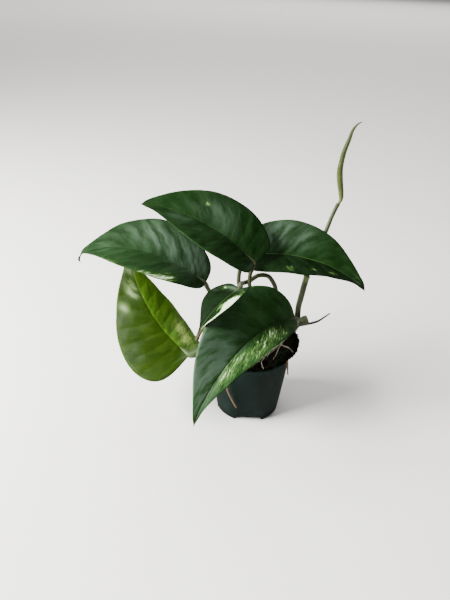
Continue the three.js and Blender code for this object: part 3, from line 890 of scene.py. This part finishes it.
# %% Rod finishes
RING_BROWN = (0.020, 0.014, 0.008)
JOINT_GREEN = (0.13, 0.18, 0.06)
ROD_LOOKS = {
    "petiole_green": {
        "foot": (0.028, 0.033, 0.010), "tip": (0.031, 0.040, 0.011), "streak": (0.088, 0.098, 0.038),
    },
    "petiole_young": {
        "foot": (0.035, 0.048, 0.018), "tip": (0.050, 0.078, 0.024), "streak": (0.095, 0.125, 0.048),
    },
    "stalk_green": {
        "foot": (0.024, 0.030, 0.008), "tip": (0.033, 0.046, 0.011), "streak": (0.070, 0.080, 0.030),
        "streaks": 0.6, "joint": 0.385,
    },
    "rolled_leaf_green": {
        "foot": (0.055, 0.075, 0.012), "tip": (0.022, 0.036, 0.006), "streak": (0.24, 0.25, 0.10),
        "streaks": 0.6, "relief": 0.1,
    },
    "stem_bark": {
        "foot": (0.016, 0.018, 0.007), "tip": (0.030, 0.043, 0.016), "streak": (0.055, 0.068, 0.028),
        "roughness": 0.6, "relief": 0.15, "bands": 0.7, "cut": (0.062, 0.072, 0.034),
    },
    "root_tan": {
        "foot": (0.085, 0.050, 0.026), "tip": (0.105, 0.066, 0.036), "streak": (0.20, 0.15, 0.10),
        "roughness": 0.75, "relief": 0.12,
    },
    "root_olive": {
        "foot": (0.060, 0.050, 0.022), "tip": (0.080, 0.066, 0.030), "streak": (0.15, 0.12, 0.06),
        "roughness": 0.7, "relief": 0.12,
    },
    "root_pale": {
        "foot": (0.040, 0.032, 0.022), "tip": (0.060, 0.050, 0.036), "streak": (0.13, 0.11, 0.085),
        "roughness": 0.75, "relief": 0.12,
    },
    "root_dark": {
        "foot": (0.030, 0.022, 0.016), "tip": (0.026, 0.020, 0.015), "streak": (0.06, 0.05, 0.038),
        "roughness": 0.8, "relief": 0.12,
    },
}


def rod_material(name, foot, tip, streak, roughness=0.42, streaks=0.35, relief=0.05, bands=0.0,
                 cut=None, joint=None):
    material, recipe = new_material(name)
    along = attribute(recipe, "along")
    turn = 2 * math.pi * attribute(recipe, "turn")
    around = recipe.combine(recipe.sine(turn), recipe.cosine(turn), along * 3)
    lines = recipe.noise(around, 3.2, 3, 0.6)
    clouds = recipe.noise(object_place(recipe), 1 / (3 * MM), 4, 0.6)
    streaky = recipe.between(0.5, 0.75, lines * 0.6 + clouds * 0.4) * streaks
    dirty = recipe.between(0.55, 0.3, clouds) * 0.35
    color = mix(recipe, recipe.between(0.0, 1.0, along), foot, tip)
    color = mix(recipe, streaky, color, streak)
    color = mix(recipe, dirty, color, [0.45 * value for value in foot])
    if bands:
        ring = recipe.between(0.6, 1.0, recipe.sine(along * RING_PHASE + lines * 1.2)) * bands
        color = mix(recipe, ring, color, RING_BROWN)
    if cut:
        color = mix(recipe, attribute(recipe, "cut"), color, cut)
    if joint:
        color = mix(recipe, recipe.bell(along, joint, 0.025) * 0.8, color, JOINT_GREEN)
    fine = recipe.noise(object_place(recipe), 1 / (0.5 * MM), 3, 0.6) + lines
    finish_material(recipe, color, roughness + 0.12 * clouds, fine, relief)
    return material


rod_finishes = {name: rod_material(name, **looks) for name, looks in ROD_LOOKS.items()}
print("rod finishes:", ", ".join(rod_finishes))

# %% [markdown]
# Every petiole runs from the crown to the base of its blade and a little on under the midrib,
# as a petiole does when it turns into the midrib. The routes are listed in millimetres, because
# how a petiole bends past the others follows no rule.

# %% Routes of the petioles
PETIOLES = {
    "top": [
        [28.4, 7, 61.5], [25.2, 4.6, 66], [23.5, 4, 71], [10.5, 2, 81.1], [-0.3, -1, 92],
        [-4, -2, 99.2], [-4.6, -2, 104.4], [-4.3, -1, 109], [-3, 1, 111.6],
    ],
    "left": [
        [27.8, 8, 59.5], [22.5, 9, 60.8], [2, 10, 65], [-19.2, 10, 75.6], [-30, 8, 88.6],
        [-32.2, 5.6, 94.6],
    ],
    "right": [
        [28.7, 8, 62], [23.4, 10.7, 63.6], [6.5, 13, 69.9], [-6.5, 15, 79.5], [-10.3, 15, 89.3],
        [-10.9, 15, 95.3], [-10.4, 16, 100.9], [-8, 18, 105.5], [-3.5, 19.4, 109],
    ],
    "low": [
        [25.3, 8, 56], [19.8, 6.4, 57.2], [2.5, 5, 55.7], [-18.2, 0, 53.2], [-31.7, -4.5, 51],
        [-36.5, -7.8, 48.6], [-39.2, -9.4, 47.8],
    ],
    "front": [[30, 7, 65], [29.6, 3.8, 68.5], [29.2, 1, 72], [28.6, -1.6, 75], [27.8, -4.3, 77.2]],
    "small": [
        [28.6, 8.4, 63], [26.3, 9.8, 68], [25, 10, 72], [19.7, 9.6, 80.8], [14.9, 8.5, 88.1],
        [12.1, 7.5, 96.3], [7.4, 6.5, 102.8], [1.4, 5, 103.8], [-4.2, 2, 101.4],
        [-7.8, -2.4, 102.4], [-9.8, -11, 107], [-10.8, -21, 110.3],
    ],
}
PETIOLE_RADIUS = dict.fromkeys(PETIOLES, 1.45) | {"low": 2.0, "top": 1.3}
UNDER_REACH = dict.fromkeys(PETIOLES, 9) | {"small": 5}
UNDER_STEPS = 12


def under_midrib(leaf, distance):
    """A point under the midrib, at a distance in millimetres from the blade's base."""
    point = np.array(leaf["Base"], float)
    for step in range(UNDER_STEPS):
        fraction = distance * (step + 0.5) / UNDER_STEPS / leaf["Length"]
        pitch = math.radians(leaf["Pitch"] - leaf["Droop"] * fraction)
        heading = math.radians(leaf["Heading"] + leaf["Sweep"] * fraction)
        ahead = np.array([math.cos(heading), math.sin(heading), 0])
        along = ahead * math.cos(pitch) + np.array([0, 0, math.sin(pitch)])
        level = np.array([-math.sin(heading), math.cos(heading), 0])
        point += along * distance / UNDER_STEPS
    roll = math.radians(leaf["Roll"] + leaf["Twist"] * fraction)
    up = np.cross(along, level) * math.cos(roll) - level * math.sin(roll)
    return list(point - up * (0.35 + 0.02 * distance))


print("petioles:", ", ".join(PETIOLES))

# %% [markdown]
# Each route gets three more points under the midrib before it is smoothed, and the knee is set
# a little before them. The young leaf's petiole is the thickest and palest one.

# %% Petioles
for name, route in PETIOLES.items():
    leaf = {**LEAF_DEFAULTS, **LEAVES[name]}
    reach = UNDER_REACH[name]
    under = [under_midrib(leaf, distance) for distance in (0.4, reach / 2, reach)]
    path = smooth_path(route + under)
    length = sum(np.linalg.norm(q - p) for p, q in zip(path, path[1:]))
    thick = PETIOLE_RADIUS[name] * MM
    values = {
        "Foot": thick * 1.12, "Tip": thick, "Knee": 1 - (reach + 3) * MM / length,
        "Unevenness": 0.16 * MM, "Grain": 5 * MM, "Seed": leaf["Seed"] * 0.1,
        "Material": rod_finishes["petiole_young" if name == "low" else "petiole_green"],
    }
    petiole = grow("leaf_petiole_" + name, petiole_recipe, values, path_mesh(name, path))
    hand_over(petiole, "petiole_" + name, "petiole")

# %% [markdown]
# The stem is short and thick, with rings where old leaves stood, and ends in a cut. The shoot's
# stalk has a sheath up to a ring, and the new leaf stands on it, still rolled up. They are rods
# as well, each along its own route.

# %% Stem, shoot and rolled leaf
STEM = [
    [17.5, 7, 42], [21, 7.6, 50], [25, 8, 55.5], [28, 8, 60.5], [29.5, 8, 64], [32.4, 8, 66.3],
    [37.7, 8, 68.9],
]
STALK = [
    [31, 8.8, 65.6], [31.2, 12.2, 69], [30.9, 12, 75.4], [31.5, 11.5, 84], [34, 15, 98.2],
    [38.1, 22, 110.5], [45.3, 32, 123.6], [48.7, 37, 132.1], [52.1, 41, 138.9], [52.7, 41.5, 139.8],
]
ROLLED = [
    [52.6, 41.3, 138.8], [53, 41.7, 139.8], [54.2, 43, 142.6], [53.7, 44, 146.9],
    [51.7, 44, 154.7], [50.4, 44, 162.4], [50.8, 44, 171.8], [52.6, 43, 181.3],
    [53.9, 42, 187.7], [55.8, 41, 191], [57.9, 40, 192.6],
]

for name, recipe, route, unevenness, finish, slot in (
    ("main_stem", stem_recipe, STEM, 0.25, "stem_bark", "stem"),
    ("shoot_stalk", stalk_recipe, STALK, 0.25, "stalk_green", "petiole"),
    ("rolled_leaf", rolled_recipe, ROLLED, 0.12, "rolled_leaf_green", "young_blade"),
):
    values = {
        "Unevenness": unevenness * MM, "Grain": 4 * MM, "Seed": 0.3,
        "Material": rod_finishes[finish],
    }
    rod = grow("grown_" + name, recipe, values, path_mesh(name, smooth_path(route)))
    hand_over(rod, name, slot)

# %% [markdown]
# The mound of soil leans over the pot's rim on the right. Its height is one formula of x and y,
# so that the roots that creep over it can use the same one. Lengths are in millimetres.

# %% Height of the soil
POT = {"height": 50, "rim": 27.5, "base": 23.4, "wall": 1, "floor": 1.4}
POT_SLOPE = (POT["rim"] - POT["base"]) / POT["height"]
GAP = 0.3
MOUND = {
    "level": 47.3, "edge": 25.2, "spread": 8.4, "softness": 0.12, "flank": 45.5,
    "over rim": 0.5, "crown": 1.3,
}
HEAP = {"height": 7, "x": 25, "y": 6, "length": 8, "width": 11}
# Degrees round the axis between which the mound leans out fully, and over which that fades.
LEAN = {"from": 5, "to": 25, "fade in": 57, "fade out": 50}


def smooth_step(low, high, value):
    t = np.clip((np.asarray(value, float) - low) / (high - low), 0, 1)
    return t * t * (3 - 2 * t)


def overhang(angle):
    turn = (np.degrees(angle) + 180) % 360 - 180
    before = (LEAN["from"] - turn) / LEAN["fade in"]
    after = (turn - LEAN["to"]) / LEAN["fade out"]
    return np.cos(np.radians(90 * np.clip(np.maximum(before, after), 0, 1)))


def soil_edge(angle):
    return MOUND["edge"] + MOUND["spread"] * np.maximum(0, overhang(angle) - MOUND["softness"])


def soil_height(x, y):
    angle = np.arctan2(y, x)
    lift = smooth_step(0, MOUND["softness"], overhang(angle))
    step = POT["height"] + MOUND["over rim"] + MOUND["crown"] - MOUND["level"]
    rise = step * lift * smooth_step(0.45, 0.9, np.hypot(x, y) / soil_edge(angle))
    beside = ((x - HEAP["x"]) / HEAP["length"]) ** 2 + ((y - HEAP["y"]) / HEAP["width"]) ** 2
    heap = HEAP["height"] * np.exp(-beside / 2)
    lumps = 0.35 * (np.sin(0.9 * x + 1.3) * np.cos(0.8 * y) + np.sin(0.6 * x - 0.7 * y))
    return MOUND["level"] + rise + heap + lumps


print("the soil is", round(float(soil_height(HEAP["x"], HEAP["y"])), 1), "mm high at the stem")

# %% [markdown]
# Aerial roots come from the stem and hang over the pot, and thin pale roots creep over the
# soil. Each is a thin rod with a rough skin. The creeping ones are drawn flat, in x and y only,
# and laid on the mound, so that they can't float or sink.

# %% Routes of the roots
# Each root: the radius at its foot and at its tip, its finish and its route.
ROOTS = {
    "aerial_root_right": (1.15, 0.45, "root_dark", [
        [32, 8, 63.5], [37.7, 8, 65], [44.2, 8, 67.3], [48.9, 8, 71.5], [52.2, 8, 74.9],
    ]),
    "aerial_root_left": (1.1, 1.45, "root_olive", [
        [26.5, 9, 58.4], [22, 12.4, 59.6], [17, 12.4, 60], [-8.3, 8, 62.4], [-25.5, 3, 66.9],
        [-33.6, 1, 62.2], [-36.5, 1, 56.7], [-37.9, 1, 51.4],
    ]),
    "hanging_root_front": (0.8, 0.75, "root_tan", [
        [-11.5, -15.5, 45], [-13.5, -19.5, 50.5], [-16.4, -23.8, 52.2], [-17.2, -25.4, 47],
        [-15.5, -25.2, 33.3], [-12.5, -25.3, 25], [-8.2, -25.5, 15.3],
    ]),
    "hanging_root_rim": (0.6, 0.5, "root_tan", [
        [23.7, -16, 51.7], [24.1, -16.5, 49], [24.6, -16.2, 44], [25.8, -13.4, 37],
    ]),
}
SURFACE_ROOTS = [
    [[24, 1.5], [19.9, -0.9], [24, -6], [28, -10.2]],
    [[24, 1.5], [18.8, -4.8], [16.5, -10.5], [14.4, -16.4]],
    [[24, 1.5], [13, -6], [7, -14], [8.5, -21.2]],
]
RIDE_HEIGHT = 0.35


def laid_on_soil(route):
    flat = np.array(smooth_path([[x, y, 0] for x, y in route])) / MM
    return [[x * MM, y * MM, (float(soil_height(x, y)) + RIDE_HEIGHT) * MM] for x, y, _ in flat]


print("roots in the air:", len(ROOTS), "and on the soil:", len(SURFACE_ROOTS))

# %% [markdown]
# A root in the air is one piece. The creeping ones start at one point and are one piece
# together, because they can't be told apart where they leave the stem.

# %% Roots
def grow_root(name, radii, unevenness, seed, finish, paths):
    foot, tip = radii
    values = {
        "Foot": foot * MM, "Tip": tip * MM, "Unevenness": unevenness * MM, "Grain": 2.5 * MM,
        "Seed": seed, "Material": rod_finishes[finish],
    }
    root = grow("grown_" + name, root_recipe, values, path_mesh(name, *paths))
    hand_over(root, name, "root")


for name, (foot, tip, finish, route) in ROOTS.items():
    grow_root(name, (foot, tip), 0.35, 0.7, finish, [smooth_path(route)])
grow_root("soil_roots", (0.65, 0.35), 0.4, 0.2, "root_pale", map(laid_on_soil, SURFACE_ROOTS))

# %% [markdown]
# The pot is a thin round shell with four shallow flat panels, which meet the round wall in soft
# creases, and four notches at the foot for drainage. It is lathed: a closed outline is turned
# round the axis, and the panels limit the radius. The wall has many rows, because the edge of a
# panel crosses them at a slant. The notches are cut out with blocks.

# %% Shape of the pot
POT_SIDES = 240
NOTCH = {"width": 19, "height": 3.8, "inner": 18.3, "outer": 40, "below": -2}
PANEL = {"count": 4, "depth": 1.7, "fade": 44, "softness": 0.12}
SHARP = 32 * DEGREE


def pot_outline():
    """Radius, height and inset (0 outside, the wall's thickness inside), from the foot's middle round."""
    rim, top, wall = POT["rim"], POT["height"], POT["wall"]
    foot = [(radius, 0.0, 0.0) for radius in (0.0, 6.0, 12.0, 18.0, 22.0, 22.95)]
    outer = [(POT["base"] + POT_SLOPE * z, z, 0.0) for z in np.linspace(0.5, 48.9, 40)]
    lip = [
        (rim + 0.16, top - 0.7, 0.0), (rim + 0.16, top - 0.25, 0.0), (rim - 0.1, top, 0.0),
        (rim - 0.75, top, wall), (rim - 0.98, top - 0.25, wall),
    ]
    inner = [(POT["base"] + POT_SLOPE * z - wall, z, wall) for z in np.linspace(49.2, 2.0, 24)]
    floor_ring = [(radius, POT["floor"], wall) for radius in (22.0, 18.0, 12.0, 6.0, 0.0)]
    return foot + outer + lip + inner + floor_ring


def panelled(radius, height, inset, angle):
    """The round wall, limited by the four planes of the panels, with soft creases."""
    plane = POT["base"] - PANEL["depth"] - inset + height * (POT_SLOPE + PANEL["depth"] / PANEL["fade"])
    share = 2 * math.pi / PANEL["count"]
    turn = (angle + share / 2) % share - share / 2
    limit = plane / np.cos(turn)
    return radius - PANEL["softness"] * np.log1p(np.exp((radius - limit) / PANEL["softness"]))


def pot_ring(radius, height, inset, angles):
    wall = panelled(radius, height, inset, angles)
    return wall * np.cos(angles), wall * np.sin(angles), np.full_like(angles, height)


def turned_mesh(name, outline, radius_rule):
    """Turns an outline of (radius, height, extra) round the axis; its two ends lie on the axis."""
    angles = np.arange(POT_SIDES) / POT_SIDES * 2 * math.pi
    rings = [np.stack(radius_rule(*row, angles), axis=1) for row in outline[1:-1]]
    corners = np.vstack([[[0, 0, outline[0][1]]], *rings, [[0, 0, outline[-1][1]]]]) * MM
    following = (np.arange(POT_SIDES) + 1) % POT_SIDES
    faces = []
    for ring in range(len(rings) - 1):
        low = 1 + ring * POT_SIDES
        high = low + POT_SIDES
        faces += [(low + i, low + j, high + j, high + i) for i, j in enumerate(following)]
    last = len(corners) - 1
    faces += [(0, 1 + j, 1 + i) for i, j in enumerate(following)]
    faces += [(last, last - POT_SIDES + i, last - POT_SIDES + j) for i, j in enumerate(following)]
    mesh = bpy.data.meshes.new(name)
    mesh.from_pydata(corners.tolist(), [], faces)
    return mesh


print("the pot's outline has", len(pot_outline()), "points")

# %% [markdown]
# The blocks stand under the four panels and reach from inside the wall to well outside it, so
# each cut is a clean one. The edges that the cuts leave stay sharp, and the round wall smooth.

# %% Pot
def notch_block(index):
    """A block whose faces all look outwards."""
    turn = Matrix.Rotation(index * 2 * math.pi / PANEL["count"], 4, "Z")
    half = NOTCH["width"] / 2
    sides = [(x, y) for x in (NOTCH["inner"], NOTCH["outer"]) for y in (-half, half)]
    corners = [turn @ Vector((x, y, z)) * MM for x, y in sides for z in (NOTCH["below"], NOTCH["height"])]
    faces = [(0, 1, 3, 2), (4, 6, 7, 5), (0, 4, 5, 1), (2, 3, 7, 6), (0, 2, 6, 4), (1, 5, 7, 3)]
    return corners, faces


def notch_mesh():
    mesh = bpy.data.meshes.new("notches")
    corners, faces = [], []
    for index in range(PANEL["count"]):
        own_corners, own_faces = notch_block(index)
        faces += [tuple(len(corners) + i for i in face) for face in own_faces]
        corners += own_corners
    mesh.from_pydata(corners, [], faces)
    return mesh


uncut_pot = place("uncut_pot", turned_mesh("uncut_pot", pot_outline(), pot_ring))
cutter = place("notches", notch_mesh())
boolean = uncut_pot.modifiers.new("notches", "BOOLEAN")
boolean.object = cutter
boolean.operation = "DIFFERENCE"
boolean.solver = "EXACT"
pot = place("nursery_pot", plain_mesh(uncut_pot))
bpy.data.objects.remove(cutter)
pot.data.shade_smooth()
pot.data.set_sharp_from_angle(angle=SHARP)
print("the cut pot has", len(pot.data.polygons), "faces")

# %% [markdown]
# The pot is dark teal plastic, matt with a soft sheen. Water has left a faint lime haze low on
# the wall, and soil has smeared it below the rim. Both are noise that is let through at their
# own height only.

# %% Pot finish
TEAL_DEEP = (0.0017, 0.0058, 0.0043)
TEAL = (0.0027, 0.0083, 0.0063)
LIME = (0.020, 0.030, 0.026)
SOIL_SMEAR = (0.005, 0.0035, 0.002)

pot_finish, recipe = new_material("pot_plastic")
spot = object_place(recipe)
_, _, z = recipe.separate(spot)
haze = recipe.noise(spot, 1 / (11 * MM), 4, 0.6)
drops = recipe.noise(spot, 1 / (2 * MM), 5, 0.65)
low_haze = recipe.between(0.45, 0.75, haze) * recipe.between(24 * MM, 4 * MM, z) * 0.25
smear = recipe.between(0.55, 0.75, drops) * recipe.between(38 * MM, 50 * MM, z) * 0.6
color = mix(recipe, recipe.between(0.3, 0.7, haze), TEAL_DEEP, TEAL)
color = mix(recipe, low_haze, color, LIME)
color = mix(recipe, smear, color, SOIL_SMEAR)
fine = recipe.noise(spot, 1 / (0.6 * MM), 3, 0.6)
finish_material(recipe, color, 0.50 + 0.16 * haze + 0.3 * smear, fine, 0.03, 0.04)
pot.data.materials.append(pot_finish)
hand_over(pot, "pot", "pot")

# %% [markdown]
# The soil fills the pot down to its floor. It is one closed body: bottom, wall, flank and
# mound, turned round the axis as the pot is, with a small gap to the pot's wall.

# %% Soil body
SOIL_FLOOR = POT["floor"] + GAP
INSIDE_TOP = 43.5
# The share of the edge's radius at which the mound's outermost ring lies.
TOP_START = 0.985


def soil_outline():
    """Radius share, height or share, and the kind of row: inside the pot, flank or top."""
    rows = [(0.0, SOIL_FLOOR, "axis")]
    rows += [(share, SOIL_FLOOR, "inside") for share in (0.4, 0.8)]
    rows += [(1.0, z, "inside") for z in np.linspace(SOIL_FLOOR, INSIDE_TOP, 14)]
    rows += [(share, share, "flank") for share in (0.0, 0.25, 0.5, 0.75, 1.0)]
    rows += [(share, 0.0, "top") for share in np.linspace(TOP_START, 0.02, 74)]
    return rows + [(0.0, float(soil_height(0.0, 0.0)), "axis")]


def soil_ring(share, height, kind, angles):
    edge = soil_edge(angles)
    if kind == "inside":
        inset = POT["wall"] + GAP
        radius = share * panelled(POT["base"] + POT_SLOPE * height - inset, height, inset, angles)
        z = np.full_like(angles, height)
    elif kind == "flank":
        lift = smooth_step(0, MOUND["softness"], overhang(angles))
        low = MOUND["flank"] + (POT["height"] + MOUND["over rim"] - MOUND["flank"]) * lift
        start = edge * TOP_START
        high = soil_height(start * np.cos(angles), start * np.sin(angles))
        radius = MOUND["edge"] + (edge - MOUND["edge"]) * smooth_step(0, 0.8, share)
        z = low + (high - 0.5 - low) * smooth_step(0.3, 1, share) + 0.1 * share
    else:
        radius = share * edge
        z = soil_height(radius * np.cos(angles), radius * np.sin(angles))
    return radius * np.cos(angles), radius * np.sin(angles), z


soil_mesh = turned_mesh("soil_body", soil_outline(), soil_ring)
print("soil body:", len(soil_mesh.polygons), "faces")

# %% [markdown]
# On top lie crumbs of bark and peat. A tree of nodes roughens the mound, scatters points over
# it with a fixed seed, puts a lumpy pebble on each, turned and sized by chance, and joins them
# to one plain mesh with the body. Each crumb keeps a number of its own for its colour.

# %% Crumbs by a tree
EXPOSED_FROM = 44 * MM
EXPOSED_FULL = 46.5 * MM
CRUMBS_FROM = 46.2 * MM
FULL_TURN = 2 * math.pi


def crumb_shape(recipe, spot):
    """A small lumpy pebble, about one unit in radius."""
    pebble = recipe.add("GeometryNodeMeshIcoSphere", None, {"Radius": 1.0, "Subdivisions": 2})
    rough = recipe.noise(spot, 1.1, 3, 0.6)
    lumpy = {"Geometry": pebble, "Position": spot * (0.35 + 1.3 * rough)}
    return recipe.add("GeometryNodeSetPosition", None, lumpy)


def scattered_crumbs(recipe, given, body, spot, level):
    seed = recipe.add("FunctionNodeFloatToInt", None, {0: given["Seed"]})
    above = recipe.math("GREATER_THAN", level, CRUMBS_FROM)
    scatter = {"Mesh": body, "Selection": above, "Density": given["Crumbs"], "Seed": seed}
    settings = {"distribute_method": "RANDOM"}
    points = recipe.add("GeometryNodeDistributePointsOnFaces", settings, scatter, "Points")
    small = recipe.combine(given["Smallest"], given["Smallest"], given["Smallest"] * 0.6)
    large = recipe.combine(given["Largest"] * 1.5, given["Largest"], given["Largest"] * 0.7)
    sizes = {"Min": small, "Max": large, "Seed": seed}
    turns = {"Min": (0.0, 0.0, 0.0), "Max": (FULL_TURN, FULL_TURN, FULL_TURN), "Seed": seed}
    settings = {"data_type": "FLOAT_VECTOR"}
    size = recipe.add("FunctionNodeRandomValue", settings, sizes)
    turn = recipe.add("FunctionNodeRandomValue", settings, turns)
    spin = recipe.add("FunctionNodeEulerToRotation", None, {0: turn})
    placed = {"Points": points, "Instance": crumb_shape(recipe, spot), "Rotation": spin, "Scale": size}
    crumbs = recipe.add("GeometryNodeInstanceOnPoints", None, placed)
    kinds = {2: 0.25, 3: 1.0, "Seed": seed}
    kind = recipe.add("FunctionNodeRandomValue", {"data_type": "FLOAT"}, kinds, 1)
    crumbs = store(recipe, crumbs, "kind", kind, "INSTANCE")
    return recipe.add("GeometryNodeRealizeInstances", None, {0: crumbs})


def soil_tree():
    inputs = ["Crumbs", "Smallest", "Largest", "Roughness", "Seed"]
    recipe, given = shape_tree("soil", inputs, geometry=True)
    spot = recipe.add("GeometryNodeInputPosition")
    _, _, level = recipe.separate(spot)
    exposed = recipe.between(EXPOSED_FROM, EXPOSED_FULL, level)
    normal = recipe.add("GeometryNodeInputNormal")
    coarse = recipe.noise(spot, 1 / (3.2 * MM), 4, 0.65) - 0.5
    offset = normal * (coarse * given["Roughness"] * exposed)
    rough = {"Geometry": given["Geometry"], "Offset": offset}
    body = recipe.add("GeometryNodeSetPosition", None, rough)
    body = store(recipe, body, "kind", 0.0)
    crumbs = scattered_crumbs(recipe, given, body, spot, level)
    joined = recipe.add("GeometryNodeJoinGeometry", None, {0: [crumbs, body]})
    close_tree(recipe, joined, given["Material"])
    return recipe


soil_recipe = soil_tree()
print("the soil's rule takes", len(soil_recipe.tree.nodes), "nodes")

# %% [markdown]
# Damp potting mix is nearly black, with browner crumbs and a mossy tint in places near its top.
# The grain that colours it is also its relief.

# %% Soil
SOIL_BLACK = (0.0003, 0.0003, 0.0001)
SOIL_BROWN = (0.0018, 0.0016, 0.0008)
CRUMB_BROWN = (0.0042, 0.0030, 0.0016)
MOSS = (0.002, 0.0052, 0.0012)

soil_finish, recipe = new_material("soil_mix")
spot = object_place(recipe)
kind = attribute(recipe, "kind")
_, _, z = recipe.separate(spot)
grains = recipe.noise(spot, 1 / (1.3 * MM), 5, 0.7)
moss_patches = recipe.noise(spot, 1 / (7 * MM), 4, 0.6)
moss = recipe.between(0.48, 0.62, moss_patches) * recipe.between(47 * MM, 51 * MM, z) * 0.6
color = mix(recipe, recipe.between(0.35, 0.7, grains), SOIL_BLACK, SOIL_BROWN)
color = mix(recipe, recipe.between(0.5, 1.0, kind) * 0.6, color, CRUMB_BROWN)
color = mix(recipe, moss, color, MOSS)
finish_material(recipe, color, 0.8 + 0.15 * grains, grains, 0.5, 0.02)

values = {
    "Crumbs": 540000.0, "Smallest": 0.25 * MM, "Largest": 0.8 * MM, "Roughness": 2.2 * MM,
    "Seed": 7.0, "Material": soil_finish,
}
soil = grow("potting_mix", soil_recipe, values, soil_mesh)
hand_over(soil, "soil", "soil")

# %% [markdown]
# The plant stands on a plain pale floor, in soft light from a window at the upper left, as in
# the photo. The ceiling light fills the shadows, and the wide one far behind keeps the end of
# the floor as pale as its front.

# %% Floor and light
REACH = 15.0
FLOOR_COLOR = (0.82, 0.80, 0.765)
ROOM = {"color": (0.95, 0.95, 0.92), "strength": 0.24}
# Each light: its place, the point that it faces, its size and its power in watts.
LIGHTS = {
    "window": ((-0.70, -0.15, 0.55), (0, 0, 0.08), 0.50, 44),
    "ceiling": ((0.1, 0.7, 1.7), (0, 0.2, 0.0), 1.4, 14),
    "backdrop": ((0.8, 6.0, 3.0), (0.8, 6.001, 0), 8.0, 440),
}

floor_mesh = bpy.data.meshes.new("floor")
corners = [(x * REACH, y * REACH, 0) for x, y in ((-1, -1), (1, -1), (1, 1), (-1, 1))]
floor_mesh.from_pydata(corners, [], [(0, 1, 2, 3)])
floor = place("floor", floor_mesh)
floor_finish, recipe = new_material("floor")
finish_material(recipe, FLOOR_COLOR, 0.9)
floor_mesh.materials.append(floor_finish)

world = bpy.data.worlds.new("room")
bpy.context.scene.world = world
world.use_nodes = True
sky = world.node_tree.nodes["Background"].inputs
sky["Color"].default_value = opaque(ROOM["color"])
sky["Strength"].default_value = ROOM["strength"]

for name, (position, target, size, power) in LIGHTS.items():
    light = bpy.data.objects.new(name, bpy.data.lights.new(name, "AREA"))
    light.data.shape = "SQUARE"
    light.data.size = size
    light.data.energy = power
    facing = (Vector(position) - Vector(target)).to_track_quat("Z", "Y")
    light.matrix_world = Matrix.Translation(position) @ facing.to_matrix().to_4x4()
    bpy.context.scene.collection.objects.link(light)
print("lights:", ", ".join(LIGHTS))
